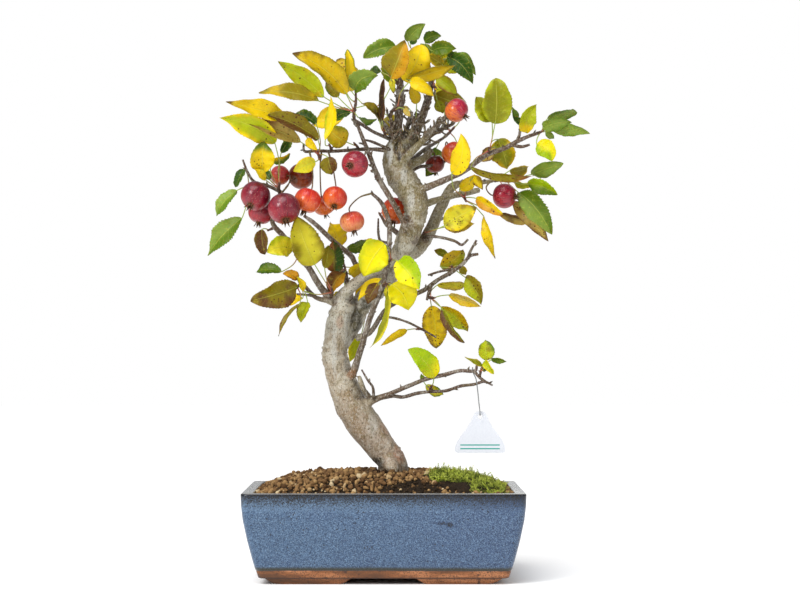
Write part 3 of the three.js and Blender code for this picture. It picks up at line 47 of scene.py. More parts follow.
def place(point):  # millimetres of the tree's drawing to the frame
    return Vector(point[:3]) * mm + treeOffset


def srgb(red, green, blue, depth=paintDepth):
    return tuple(depth * (c / 255) ** 2.2 for c in (red, green, blue)) + (1.0,)


def mixTint(first, second, share):
    return tuple(a * (1 - share) + b * share for a, b in zip(first, second))


def fade(start, end, count):  # a tint for each of count rings, from start nearly to end
    return [mixTint(start, end, k / count) for k in range(count)]


def smoothstep(low, high, value):
    s = min(1, max(0, (value - low) / (high - low)))
    return s * s * (3 - 2 * s)


def wave(x, y, z):
    return noise.noise(Vector((x, y, z)))


def turns(count):  # angles once round
    return [2 * math.pi * i / count for i in range(count)]


def addObject(name, data):
    made = bpy.data.objects.new(name, data)
    scene.collection.objects.link(made)
    return made


# Camera, light and floor

shot = {
    "focal": 85.5,
    "sensor": 36,
    "from": (0.0074, -2.084, 0.251),
    "shift": (0.01175, 0.0514),
}
lamps = {  # place, size, watts: soft boxes round the tree
    "keyBox": ((-1.3, -1.5, 1.1), 0.7, 30),
    "fillBox": ((1.3, -1.3, 0.9), 0.9, 7),
    "backBox": ((0.6, 1.6, 1.0), 1.2, 6),
}
daylight = {"from": (-0.25, -0.45, 1.0), "spread": 45, "strength": 2.35}
room = {"seen": 1.0, "given": 0.4}  # the white backdrop as it shows, and what light it throws back
floorReach = 6


def setCamera():
    data = bpy.data.cameras.new("shotCamera")
    data.lens = shot["focal"]
    data.sensor_width = shot["sensor"]
    data.shift_x, data.shift_y = shot["shift"]
    data.clip_start = 0.05
    camera = addObject("shotCamera", data)
    camera.location = treeOffset + Vector(shot["from"])
    camera.rotation_euler = (math.radians(90), 0, 0)
    scene.camera = camera


def aimed(lamp, along):
    lamp.rotation_euler = along.to_track_quat("-Z", "Y").to_euler()


def setLight():
    middle = Vector((0, 0, 0.3))
    for name, (spot, size, watts) in lamps.items():
        data = bpy.data.lights.new(name, "AREA")
        data.size = size
        data.energy = watts
        lamp = addObject(name, data)
        lamp.location = spot
        aimed(lamp, middle - Vector(spot))
    sun = bpy.data.lights.new("daylight", "SUN")
    sun.angle = math.radians(daylight["spread"])
    sun.energy = daylight["strength"]
    aimed(addObject("daylight", sun), -Vector(daylight["from"]))
    world = bpy.data.worlds.new("paleRoom")
    world.use_nodes = True
    tree = world.node_tree
    sky = tree.nodes["Background"]
    sky.inputs["Color"].default_value = (1, 1, 1, 1)
    ray = addNode(tree, "ShaderNodeLightPath").outputs["Is Camera Ray"]
    sockets = {"Value": ray, "To Min": room["given"], "To Max": room["seen"]}
    level = addNode(tree, "ShaderNodeMapRange", sockets)
    tree.links.new(level.outputs["Result"], sky.inputs["Strength"])
    scene.world = world
    scene.view_settings.view_transform = "Standard"


def setFloor():
    mesh = bpy.data.meshes.new("floor")
    corners = [(x * floorReach, y * floorReach, 0) for x, y in ((-1, -1), (1, -1), (1, 1), (-1, 1))]
    mesh.from_pydata(corners, [], [(0, 1, 2, 3)])
    stops = [(0.3, srgb(252, 252, 253, 1)), (0.7, srgb(254, 254, 254, 1))]
    paint = grainFinish("palePaper", (3, 2), stops, Roughness=0.9, Specular_IOR_Level=0.2)
    mesh.materials.append(paint.material)
    addObject("floor", mesh)


# Short calls for node trees


def addNode(tree, kind, sockets=None, settings=None):  # inputs take numbers, sockets or readings
    made = tree.nodes.new(kind)
    for name, value in (settings or {}).items():
        setattr(made, name, value)
    for name, value in (sockets or {}).items():
        value = getattr(value, "socket", value)
        if isinstance(value, bpy.types.NodeSocket):
            tree.links.new(value, made.inputs[name])
        else:
            made.inputs[name].default_value = value
    return made


class Reading:  # an output in a finish, so that sums of nodes can be written as sums
    def __init__(self, paint, socket):
        self.paint = paint
        self.socket = socket

    def __add__(self, other):
        return self.paint.maths("ADD", self, other)

    def __sub__(self, other):
        return self.paint.maths("SUBTRACT", self, other)

    def __mul__(self, other):
        return self.paint.maths("MULTIPLY", self, other)

    def __abs__(self):
        return self.paint.maths("ABSOLUTE", self)

    def band(self, low, high):  # 0 below low, 1 above high
        sockets = {"Value": self, "From Min": low, "From Max": high}
        return self.paint.read("MapRange", "Result", sockets, interpolation_type="SMOOTHSTEP")


class Finish:
    def __init__(self, name, **shader):
        self.material = bpy.data.materials.new(name)
        self.material.use_nodes = True
        self.tree = self.material.node_tree
        self.shader = self.tree.nodes["Principled BSDF"]
        self.where = self.read("TexCoord", "Object")
        for socket, value in shader.items():
            self.shader.inputs[socket.replace("_", " ")].default_value = value

    def read(self, kind, output, sockets=None, **settings):
        made = addNode(self.tree, "ShaderNode" + kind, sockets, settings)
        return Reading(self, made.outputs[output])

    def maths(self, operation, first, second=0.5):
        return self.read("Math", 0, {0: first, 1: second}, operation=operation)

    def noise(self, scale, detail=3, rough=0.55, vector=None):
        vector = vector or self.where
        sockets = {"Vector": vector, "Scale": scale, "Detail": detail, "Roughness": rough}
        return self.read("TexNoise", "Fac", sockets)

    def cells(self, scale, output="Distance", feature="F1"):
        sockets = {"Vector": self.where, "Scale": scale}
        return self.read("TexVoronoi", output, sockets, feature=feature)

    def blob(self, centre, reach):  # 1 at a place, 0 past its reach each way, both in mm
        scale = [1 / (r * mm) for r in reach]
        shift = [-c * s for c, s in zip(place(centre), scale)]
        spot = {"Vector": self.where, "Scale": scale, "Location": shift}
        sockets = {"Vector": self.read("Mapping", "Vector", spot)}
        return self.read("TexGradient", "Fac", sockets, gradient_type="SPHERICAL")

    def stretched(self, scale, vector=None):
        sockets = {"Vector": vector or self.where, "Scale": scale}
        return self.read("Mapping", "Vector", sockets)

    def ramp(self, value, stops):
        made = addNode(self.tree, "ShaderNodeValToRGB", {"Fac": value})
        while len(made.color_ramp.elements) < len(stops):
            made.color_ramp.elements.new(0.5)
        for element, (spot, tone) in zip(made.color_ramp.elements, stops):
            element.position = spot
            element.color = tone
        return Reading(self, made.outputs["Color"])

    def mark(self, name, output="Fac"):
        return self.read("Attribute", output, attribute_name=name)

    def split(self, vector):
        made = addNode(self.tree, "ShaderNodeSeparateXYZ", {"Vector": vector})
        return [Reading(self, out) for out in made.outputs]

    def mix(self, share, under, over, blend="MIX"):
        sockets = {0: share, 6: under, 7: over}
        return self.read("Mix", 2, sockets, data_type="RGBA", blend_type=blend)

    def base(self, tone):  # the colour that further coats go over
        self.body = tone
        self.tree.links.new(tone.socket, self.shader.inputs["Base Color"])

    def cover(self, tone, share, blend="MIX"):
        self.base(self.mix(share, self.body, tone, blend))

    def rough(self, value, low, high):
        sockets = {"Value": value, "To Min": low, "To Max": high}
        spread = self.read("MapRange", "Result", sockets)
        self.tree.links.new(spread.socket, self.shader.inputs["Roughness"])

    def relief(self, height, distance, strength):  # one bump after another
        before = self.shader.inputs["Normal"]
        sockets = {"Height": height, "Distance": distance, "Strength": strength}
        if before.is_linked:
            sockets["Normal"] = before.links[0].from_socket
        self.tree.links.new(self.read("Bump", "Normal", sockets).socket, before)


def grainFinish(name, grain, stops, relief=None, rough=None, **shader):  # all from one noise
    paint = Finish(name, **shader)
    paint.grain = paint.noise(*grain)
    paint.base(paint.ramp(paint.grain, stops))
    if relief:
        paint.relief(paint.grain, *relief)
    if rough:
        paint.rough(paint.grain, *rough)
    return paint


# Short calls for meshes


class Shape:  # points and faces, with a tint and a mark carried by each point
    def __init__(self):
        self.points = []
        self.faces = []
        self.slots = []
        self.tints = []
        self.marks = []

    def point(self, spot, tint=(1, 1, 1, 1), mark=(0, 0, 0)):
        self.points.append(spot)
        self.tints.append(tint)
        self.marks.append(mark)
        return len(self.points) - 1

    def face(self, corners, slot=0):
        self.faces.append(corners)
        self.slots.append(slot)

    def walls(self, low, high, slot=0):  # between two rings of point numbers
        for i in range(len(low)):
            j = (i + 1) % len(low)
            self.face((low[i], low[j], high[j], high[i]), slot)

    def cap(self, row, ring, flip, slot=0, **carried):
        tip = self.point(sum(ring, Vector()) / len(ring), **carried)
        for i in range(len(row)):
            j = (i + 1) % len(row)
            self.face((row[j], row[i], tip) if flip else (row[i], row[j], tip), slot)

    def rings(self, rings, slot=0, tints=None, closed=True):
        tints = tints or [(1, 1, 1, 1)] * len(rings)
        rows = [[self.point(p, tint) for p in ring] for ring, tint in zip(rings, tints)]
        for low, high in zip(rows, rows[1:]):
            self.walls(low, high, slot)
        if closed:
            self.cap(rows[0], rings[0], True, slot, tint=tints[0])
            self.cap(rows[-1], rings[-1], False, slot, tint=tints[-1])

    def fill(self, loops, facing):  # a flat face with holes
        flat = [p for loop in loops for p in loop]
        ids = [self.point(p) for p in flat]
        for a, b, c in tessellate_polygon(loops):
            normal = (flat[b] - flat[a]).cross(flat[c] - flat[a])
            if normal.length > 1e-12:
                corners = (ids[a], ids[b], ids[c])
                self.face(corners if normal.dot(facing) > 0 else corners[::-1])
        return ids

    def mesh(self, name):
        mesh = bpy.data.meshes.new(name)
        mesh.from_pydata([tuple(p) for p in self.points], [], self.faces)
        mesh.polygons.foreach_set("material_index", self.slots)
        mark = mesh.attributes.new("mark", "FLOAT_VECTOR", "POINT")
        mark.data.foreach_set("vector", [c for m in self.marks for c in m])
        return tinted(mesh, self.tints)


def tinted(mesh, tints):
    tint = mesh.attributes.new("tint", "FLOAT_COLOR", "POINT")
    tint.data.foreach_set("color", [c for t in tints for c in t])
    return smoothed(mesh)


def smoothed(mesh):
    mesh.polygons.foreach_set("use_smooth", [True] * len(mesh.polygons))
    mesh.update()
    return mesh


def addPiece(name, mesh, finishes, slot, *nodes):
    piece = addObject(name, mesh)
    while mesh.materials:
        mesh.materials.pop()
    for finish in finishes:
        mesh.materials.append(finish.material)
    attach(piece, "root")
    if nodes:
        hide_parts(*nodes)


def recoat(node, finish):  # a solid that shows as it is, in a finish of its own
    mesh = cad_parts[node].data
    mesh.materials.clear()
    mesh.materials.append(finish.material)


def plainCopy(host):  # what the host's modifiers make of it, as a mesh of its own
    graph = bpy.context.evaluated_depsgraph_get()
    result = bpy.data.meshes.new_from_object(host.evaluated_get(graph))
    host.modifiers.clear()
    bpy.data.objects.remove(host)
    return result


def smoothPath(path, pitch):  # (place, radius) pairs on a curve through [x, y, z, radius] rows
    spots = [place(p) for p in path]
    radii = [p[3] * mm for p in path]
    times = [0.0]
    for a, b in zip(spots, spots[1:]):
        times.append(times[-1] + max(1e-5, (b - a).length) ** 0.5)
    slopes = []
    for i in range(len(spots)):
        low, high = max(0, i - 1), min(len(spots) - 1, i + 1)
        slopes.append((spots[high] - spots[low]) / (times[high] - times[low]))
    result = []
    for i in range(len(spots) - 1):
        span = times[i + 1] - times[i]
        steps = max(1, round((spots[i + 1] - spots[i]).length / pitch))
        for k in range(steps):
            s = k / steps
            curve = (
                spots[i] * (2 * s**3 - 3 * s**2 + 1)
                + slopes[i] * span * (s**3 - 2 * s**2 + s)
                + spots[i + 1] * (3 * s**2 - 2 * s**3)
                + slopes[i + 1] * span * (s**3 - s**2)
            )
            result.append((curve, radii[i] * (1 - s) + radii[i + 1] * s))
    result.append((spots[-1], radii[-1]))
    return result


def curveThrough(path, pitch):  # the same, through (place, radius in mm) pairs already in the frame
    return smoothPath([[*((p - treeOffset) / mm), r] for p, r in path], pitch)


def tubeRings(samples, sides):
    rings = []
    side = None
    for k, (spot, radius) in enumerate(samples):
        ahead = samples[min(k + 1, len(samples) - 1)][0]
        behind = samples[max(k - 1, 0)][0]
        along = (ahead - behind).normalized()
        if side is None:
            side = Vector((1, 0, 0)) if abs(along.x) < 0.8 else Vector((0, 1, 0))
        side = (side - along * side.dot(along)).normalized()
        across = along.cross(side)
        one, two = side * radius, across * radius
        rings.append([spot + one * math.cos(t) + two * math.sin(t) for t in turns(sides)])
    return rings


# Tray: glazed walls over a bare clay foot

tray = {
    "halfWidth": 150,
    "halfDepth": 100,
    "corner": 8,
    "innerCorner": 7,
    "cornerSteps": 10,
    "edgeSteps": 14,
    "floor": 18,
    "drainX": 62,
    "drainRadius": 11,
    "drainSides": 24,
    "outer": [  # height, half width
        (6.5, 131.6), (6.9, 132.4), (7.8, 132.9), (14.2, 134.7), (15.0, 134.6), (15.6, 135.3),
        (16.6, 135.9), (26, 138.5), (47.6, 143.8), (69, 148), (84, 149.6), (94.6, 149.95),
        (95.8, 149.95), (96.6, 149.5), (97, 148.7),
    ],
    "inner": [
        (97, 138.9), (96.7, 138.2), (95.8, 137.7), (93, 137.5), (60, 134), (23, 127), (18, 122),
    ],
    "foot": [(0, 10.4), (0.3, 9.6), (1, 8.6), (2.5, 6), (5.4, 1), (8.5, 0)],  # height, inset
    "footCorner": (126.6, 79.6),
    "footEnds": (34, 28),
    "footWall": 20,
}
glaze = {
    "blue": srgb(73, 101, 134),
    "deepBlue": srgb(24, 38, 64),
    "paleBlue": srgb(128, 160, 191),
    "dusk": srgb(66, 88, 126),
    "lip": srgb(194, 197, 198),
    "lipGrey": srgb(70, 72, 76),
    "lipWhite": srgb(226, 226, 224),
    "lipFront": srgb(92, 88, 84),
    "iron": srgb(12, 12, 14),
    "olive": srgb(52, 52, 38),
    "clay": srgb(150, 90, 46),
    "darkClay": srgb(98, 60, 30),
    "paleClay": srgb(196, 128, 82),
    "stain": srgb(74, 44, 24),
    # painted shadow for the line where the glazed band meets the feet
    "seamShadow": srgb(60, 36, 20),
    "chips": [  # x, z, half width, half height of the flaws in the front wall
        (-29.8, 66.5, 3.2, 2.1), (61, 66, 10, 3), (69, 64.6, 7, 4.6), (-122, 71, 3, 1.4),
        (-118, 54, 2.4, 2), (-20, 40, 1.8, 1.8), (45, 49, 1.8, 1.8),
    ],
}


def roundedRing(half, radius, z):
    steps, edge = tray["cornerSteps"], tray["edgeSteps"]
    insideX = half - radius
    insideY = insideX - (tray["halfWidth"] - tray["halfDepth"])
    corners = [(1, 1), (-1, 1), (-1, -1), (1, -1)]
    ring = []
    for corner, (sx, sy) in enumerate(corners):
        for i in range(steps + 1):
            angle = (corner + i / steps) * math.pi / 2
            x = sx * insideX + radius * math.cos(angle)
            y = sy * insideY + radius * math.sin(angle)
            ring.append((x, y, z))
        nextX, nextY = corners[(corner + 1) % 4]
        toX = nextX * insideX + radius * math.cos(angle)
        toY = nextY * insideY + radius * math.sin(angle)
        for i in range(1, edge):
            s = i / edge
            x, y, _ = ring[-i]
            ring.append((x * (1 - s) + toX * s, y * (1 - s) + toY * s, z))
    return [place(p) for p in ring]


def drainRing(x, z):
    r = tray["drainRadius"]
    return [place((x + r * math.cos(t), r * math.sin(t), z)) for t in turns(tray["drainSides"])]


def footRing(signX, signY, inset, z):
    (x0, y0), (xEnd, yEnd) = tray["footCorner"], tray["footEnds"]
    x0, y0 = x0 - inset * 0.9, y0 - inset * 0.3
    xEnd, yEnd = xEnd + inset * 0.9, yEnd + inset * 0.9
    wall = tray["footWall"] - inset * 0.5
    outline = [
        (xEnd + 4, y0), (x0 - 8, y0), (x0 - 4, y0 - 0.8), (x0 - 1.6, y0 - 2.6), (x0 - 0.4, y0 - 5),
        (x0, y0 - 8), (x0, yEnd + 3), (x0 - 0.8, yEnd + 0.8), (x0 - 3, yEnd), (x0 - wall, yEnd),
        (x0 - wall, y0 - wall), (xEnd, y0 - wall), (xEnd, y0 - 3), (xEnd + 1, y0 - 0.8),
    ]
    ring = [place((signX * x, signY * y, z)) for x, y in outline]
    return ring[::-1] if signX * signY > 0 else ring


def makeTray():
    shape = Shape()
    outer = [roundedRing(half, tray["corner"], z) for z, half in tray["outer"]]
    inner = [roundedRing(half, tray["innerCorner"], z) for z, half in tray["inner"]]
    shape.rings(outer + inner, closed=False)
    drains = (-tray["drainX"], tray["drainX"])
    underside = tray["outer"][0][0]
    for ring, z, way in ((outer[0], underside, -1), (inner[-1], tray["floor"], 1)):
        shape.fill([ring] + [drainRing(x, z) for x in drains], Vector((0, 0, way)))
    for x in drains:
        shape.rings([drainRing(x, tray["floor"]), drainRing(x, underside)], closed=False)
    for signX in (-1, 1):
        for signY in (-1, 1):
            shape.rings([footRing(signX, signY, inset, z) for z, inset in tray["foot"]])
    return shape.mesh("tray")


def trayFinish():
    paint = Finish("speckledGlaze", Coat_Weight=0.25, Coat_Roughness=0.14, Specular_IOR_Level=0.35)
    sideways, depth, height = paint.split(paint.where)
    wander = paint.noise(14)
    fine = paint.noise(900, 2, 0.6)
    speck = paint.split(paint.cells(1650, "Color"))[0]
    # painted shade: the glaze goes darker towards the right side, away from the key light
    paint.base(paint.mix(sideways.band(-0.12, 0.14) * 0.7, glaze["blue"], glaze["dusk"]))
    glow = height.band(0.074, 0.088) * sideways.band(0.17, -0.06)  # painted highlight: paler near the top left
    crowd = paint.noise(40, 1) + height * 1.4
    pits = paint.cells(230).band(0.2, 0.13) * crowd.band(0.62, 0.7)
    for kind, share in (
        ("dusk", paint.noise(24, 4, 0.6).band(0.5, 0.34) * 0.35),
        ("paleBlue", glow * 0.55),
        ("paleBlue", speck.band(0.6, 0.95) * 0.75),
        ("deepBlue", speck.band(0.36, 0.05) * 0.8),
        ("deepBlue", fine.band(0.48, 0.36) * 0.6),
        ("iron", pits),
    ):
        paint.cover(glaze[kind], share)
    for x, z, wide, tall in glaze["chips"]:
        chip = paint.blob((x, -98, z), (wide, 30, tall)) + (speck - 0.5) * 0.9
        paint.cover(glaze["iron"], chip.band(0.62, 0.72))

    # dark glaze runs down from the lip in a ragged line, and the lip itself is worn pale
    top = height + ((fine + speck * 0.7) * 0.024 + wander * 0.004)
    paint.cover(glaze["iron"], top.band(0.1106, 0.1122) * height.band(0.0972, 0.0968))
    lip = paint.mix(fine.band(0.5, 0.4), glaze["lip"], glaze["lipGrey"])
    lip = paint.mix(fine.band(0.55, 0.66), lip, glaze["lipWhite"])
    lip = paint.mix(depth.band(-0.0965, -0.0985) * 0.7, lip, glaze["lipFront"])
    paint.cover(lip, height.band(0.0966, 0.0969))

    # an olive rim where the glaze ends, then bare clay
    edge = height + (wander - 0.5) * 0.003
    paint.cover(glaze["olive"], edge.band(0.0145, 0.0155) * edge.band(0.0205, 0.0165))
    drawn = paint.noise(26, 5, 0.65, paint.stretched((0.35, 0.35, 2.2)))
    stops = [(0.42, glaze["darkClay"]), (0.52, glaze["clay"]), (0.6, glaze["paleClay"])]
    grain = paint.noise(760, 3, 0.7)
    clay = paint.mix(grain.band(0.5, 0.4), paint.ramp(drawn, stops), glaze["darkClay"])
    clay = paint.mix(paint.noise(90, 4).band(0.57, 0.64), clay, glaze["stain"])
    # painted shadow: a dark line where the glazed band meets the feet
    seamShadow = height.band(0.0052, 0.0062) * height.band(0.0084, 0.0072)
    clay = paint.mix(seamShadow * 0.75, clay, glaze["seamShadow"])
    bare = edge.band(0.0152, 0.0148)
    paint.cover(clay, bare)
    paint.rough(fine * 0.3 + bare * 0.6, 0.18, 0.75)
    paint.relief(fine, 0.0002, 0.5)
    paint.relief(paint.noise(26, 2), 0.0012, 0.4)
    paint.relief(pits * -1.0, 0.0006, 0.6)
    return paint


# Growing with node trees

growInputs = {"Gap": "Float", "Size": "Float", "Seed": "Int", "Faces": "Int", "Pale": "Float"}


class Grower:  # lays small shapes over a sheet
    def __init__(self, name, labels):
        self.tree = bpy.data.node_groups.new(name, "GeometryNodeTree")
        sockets = [("Geometry", "Geometry")] + [(label, growInputs[label]) for label in labels]
        for label, kind in sockets:
            kind = "NodeSocket" + kind
            self.tree.interface.new_socket(label, in_out="INPUT", socket_type=kind)
        kind = "NodeSocketGeometry"
        self.tree.interface.new_socket("Geometry", in_out="OUTPUT", socket_type=kind)
        self.start = self.tree.nodes.new("NodeGroupInput").outputs

    def read(self, kind, output=0, sockets=None, **settings):
        return addNode(self.tree, kind, sockets, settings).outputs[output]

    def number(self, low, high, seed):
        sockets = {2: low, 3: high, "Seed": seed}
        return self.read("FunctionNodeRandomValue", 1, sockets, data_type="FLOAT")

    def vector(self, low, high, seed):
        sockets = {0: low, 1: high, "Seed": seed}
        return self.read("FunctionNodeRandomValue", 0, sockets, data_type="FLOAT_VECTOR")

    def scaled(self, vector, scale):
        sockets = {0: vector, "Scale": scale}
        return self.read("ShaderNodeVectorMath", 0, sockets, operation="SCALE")

    def smooth(self, geometry):
        sockets = {"Geometry": geometry, "Shade Smooth": True}
        return self.read("GeometryNodeSetShadeSmooth", 0, sockets)

    def spread(self, density):  # points on the sheet, none nearer to another than the gap
        sockets = {
            "Mesh": self.start["Geometry"],
            "Distance Min": self.start["Gap"],
            "Density Max": density,
            "Seed": self.start["Seed"],
        }
        kind = "GeometryNodeDistributePointsOnFaces"
        return addNode(self.tree, kind, sockets, {"distribute_method": "POISSON"}).outputs

    def lay(self, points, shapes, rotation, size, pick=False):
        sockets = {
            "Points": points,
            "Instance": shapes,
            "Pick Instance": pick,
            "Rotation": rotation,
            "Scale": size,
        }
        return self.read("GeometryNodeInstanceOnPoints", 0, sockets)

    def finish(self, laid, finish, darkest=0.0):  # gives each shape a tone, then one plain mesh
        tone = self.number(darkest, 1.0, 31)
        sockets = {"Geometry": laid, "Name": "tone", "Value": tone}
        settings = {"data_type": "FLOAT", "domain": "INSTANCE"}
        toned = self.read("GeometryNodeStoreNamedAttribute", 0, sockets, **settings)
        plain = self.read("GeometryNodeRealizeInstances", 0, {"Geometry": toned})
        sockets = {"Geometry": plain, "Material": finish.material}
        coated = self.read("GeometryNodeSetMaterial", 0, sockets)
        addNode(self.tree, "NodeGroupOutput", {0: coated})
        return self


def grown(name, mesh, grower, values):  # runs the tree on a mesh and returns the plain result
    host = addObject(name + "Host", mesh)
    modifier = host.modifiers.new("grow", "NODES")
    modifier.node_group = grower.tree
    for item in grower.tree.interface.items_tree:
        if item.item_type == "SOCKET" and item.in_out == "INPUT" and item.name in values:
            modifier[item.identifier] = values[item.name]
    return plainCopy(host)


# Ground: soil, clay grains, moss

ground = {
    "foot": 91,
    "rise": 20,
    "area": (-137, 137, -87, 87),
    "grainBed": 2.6,
    "soilBed": 2.6,
    "rimFrom": -79,
    "density": 90000.0,
    "kinds": 4,
    "moss": [
        (46, -58), (56, -74), (80, -83), (112, -84), (133, -82), (133, -40),
        (131, -8), (112, 12), (88, 20), (66, 12), (50, -8), (42, -34),
    ],
    "bare": [(-26, -90), (72, -90), (60, -74), (48, -58), (36, -52), (22, -60), (-2, -74)],
    "loose": {  # mm apart, mm across, seed, times a ball is cut finer, darkest tone
        "paleRimGrains": (8, 1.5, 3, 1, 0.85),
        "clayGrains": (5.6, 3.2, 11, 2, 0.0),
        "smallClayGrains": (3.4, 1.8, 12, 1, 0.0),
        "strayGrains": (11, 2.7, 8, 2, 0.0),
        "soilCrumbs": (2.6, 1.5, 5, 1, 0.0),
        "vergeCrumbs": (2.6, 1.5, 5, 1, 0.0),
    },
}


def moundHeight(x, y):
    _, right, _, back = ground["area"]
    ends = 1 - min(1, abs(x / right)) ** 4
    sides = 1 - min(1, abs(y / back)) ** 3
    return ground["foot"] + ground["rise"] * ends * sides


def inside(outline, x, y, grow):  # whether a place lies in an outline grown by so many mm
    hit = False
    cx = sum(p[0] for p in outline) / len(outline)
    cy = sum(p[1] for p in outline) / len(outline)
    wider = []
    for px, py in outline:
        far = math.hypot(px - cx, py - cy)
        wider.append((cx + (px - cx) * (far + grow) / far, cy + (py - cy) * (far + grow) / far))
    for (ax, ay), (bx, by) in zip(wider, wider[1:] + wider[:1]):
        if (ay > y) != (by > y) and x < (bx - ax) * (y - ay) / (by - ay) + ax:
            hit = not hit
    return hit


def sheetOver(wanted, height, step=3.0, area=ground["area"]):
    left, right, front, back = area
    columns = round((right - left) / step)
    rows = round((back - front) / step)
    across = [left + (right - left) * i / (2 * columns) for i in range(2 * columns + 1)]
    along = [front + (back - front) * j / (2 * rows) for j in range(2 * rows + 1)]
    points = [tuple(place((x, y, height(x, y)))) for y in along[::2] for x in across[::2]]
    faces = []
    for j in range(rows):
        for i in range(columns):
            if wanted(across[2 * i + 1], along[2 * j + 1]):
                k = j * (columns + 1) + i
                faces.append((k, k + 1, k + columns + 2, k + columns + 1))
    mesh = bpy.data.meshes.new("sheet")
    mesh.from_pydata(points, [], faces)
    mesh.update()
    return mesh


def thickSheet(mesh, drop):  # closes a sheet into a thin body
    used = sorted({i for f in mesh.polygons for i in f.vertices})
    order = {old: k for k, old in enumerate(used)}
    tops = [mesh.vertices[i].co.copy() for i in used]
    lows = [p - Vector((0, 0, drop * mm)) for p in tops]
    count = len(tops)
    faces = []
    edges = {}
    for f in mesh.polygons:
        ring = [order[i] for i in f.vertices]
        faces += [tuple(ring), tuple(i + count for i in reversed(ring))]
        for a, b in zip(ring, ring[1:] + ring[:1]):
            edges[a, b] = True
    faces += [(a, a + count, b + count, b) for a, b in edges if (b, a) not in edges]
    made = bpy.data.meshes.new("body")
    made.from_pydata([tuple(p) for p in tops + lows], [], faces)
    return smoothed(made)


def onGrains(x, y):
    return not inside(ground["moss"], x, y, -2) and not inside(ground["bare"], x, y, -2)


def onRim(x, y):
    return y < ground["rimFrom"] and onGrains(x, y)


def onBareSoil(x, y):
    return inside(ground["bare"], x, y, 3) and not inside(ground["moss"], x, y, -6)


def onVerge(x, y):
    return inside(ground["moss"], x, y, 2)


def grainTop(x, y):  # lower at the tray's left end
    low = 2.4 * max(0, (-112 - x) / 25)
    return moundHeight(x, y) + ground["grainBed"] - low + 1.4 * wave(x * 0.08, y * 0.08, 1)


def soilTop(x, y, lift=ground["soilBed"]):
    return moundHeight(x, y) + lift + 1.6 * wave(x * 0.11, y * 0.11, 4)


def vergeTop(x, y):
    return soilTop(x, y, 0.5)


def grainGrower(finish):
    grower = Grower("grainGrower", growInputs)
    start = grower.start
    spread = grower.spread(ground["density"])
    kinds = addNode(grower.tree, "GeometryNodeJoinGeometry")
    for k in range(ground["kinds"]):  # lumps to pick from
        sockets = {"Radius": 1.0, "Subdivisions": start["Faces"]}
        ball = grower.read("GeometryNodeMeshIcoSphere", "Mesh", sockets)
        sockets = {"Scale": 1.1, "Detail": 1.0, "W": 3.7 * k}
        lumps = grower.read("ShaderNodeTexNoise", "Color", sockets, noise_dimensions="4D")
        sockets = {0: lumps, 1: (0.5, 0.5, 0.5)}
        push = grower.read("ShaderNodeVectorMath", 0, sockets, operation="SUBTRACT")
        sockets = {"Geometry": ball, "Offset": grower.scaled(push, 1.1)}
        lump = grower.smooth(grower.read("GeometryNodeSetPosition", 0, sockets))
        kind = grower.read("GeometryNodeGeometryToInstance", 0, {"Geometry": lump})
        grower.tree.links.new(kind, kinds.inputs[0])
    size = grower.scaled(grower.vector((0.62, 0.56, 0.5), (1.35, 1.2, 1.05), 5), start["Size"])
    angles = grower.vector((0, 0, 0), (6.28, 6.28, 6.28), 9)
    turn = grower.read("FunctionNodeEulerToRotation", 0, {0: angles})
    laid = grower.lay(spread["Points"], kinds.outputs[0], turn, size, True)
    lift = grower.read("ShaderNodeCombineXYZ", 0, {"Z": grower.number(-0.0012, 0.0022, 21)})
    sockets = {"Instances": laid, "Translation": lift, "Local Space": False}
    raised = grower.read("GeometryNodeTranslateInstances", 0, sockets)
    return grower.finish(raised, finish, start["Pale"])


def clayFinish():
    paint = Finish("firedClayGrain", Roughness=0.95, Specular_IOR_Level=0.15)
    stops = [
        (0.0, srgb(80, 58, 38)), (0.25, srgb(120, 90, 60)), (0.6, srgb(152, 118, 78)),
        (0.88, srgb(182, 146, 98)), (0.98, srgb(216, 194, 154)),
    ]
    paint.base(paint.ramp(paint.mark("tone"), stops))
    soilAndShadeAtFoot = paint.blob((-4, -16, 112), (34, 26, 16))  # dark soil round the trunk's foot, with painted shade where the trunk meets the grains
    paint.cover(srgb(42, 30, 22), soilAndShadeAtFoot * 1.6)
    dust = paint.noise(900, 4, 0.7)
    paint.cover(srgb(204, 160, 112), dust.band(0.56, 0.75))
    paint.cover(srgb(84, 54, 34), dust.band(0.46, 0.3))
    paint.relief(dust, 0.0005, 0.8)
    return paint


def soilFinish():
    stops = [
        (0.3, srgb(26, 21, 15)), (0.5, srgb(50, 39, 27)),
        (0.66, srgb(84, 66, 46)), (0.78, srgb(124, 100, 70)),
    ]
    matt = {"Roughness": 0.97, "Specular_IOR_Level": 0.2}
    paint = grainFinish("darkSoil", (420, 5, 0.75), stops, (0.0015, 0.9), **matt)
    crumb = [
        (0.0, srgb(40, 32, 24)), (0.6, srgb(70, 54, 36)),
        (0.85, srgb(120, 92, 60)), (1.0, srgb(150, 118, 78)),
    ]
    paint.cover(paint.ramp(paint.mark("tone"), crumb), 0.45)
    paint.relief(paint.noise(90), 0.003, 0.6)
    return paint


def scatter(name, sheet, grower, finish, slot="granules"):
    gap, size, seed, faces, darkest = ground["loose"][name]
    values = {"Gap": gap * mm, "Size": size * mm, "Seed": seed, "Faces": faces, "Pale": darkest}
    addPiece(name, grown(name, sheet.copy(), grower, values), [finish], slot)


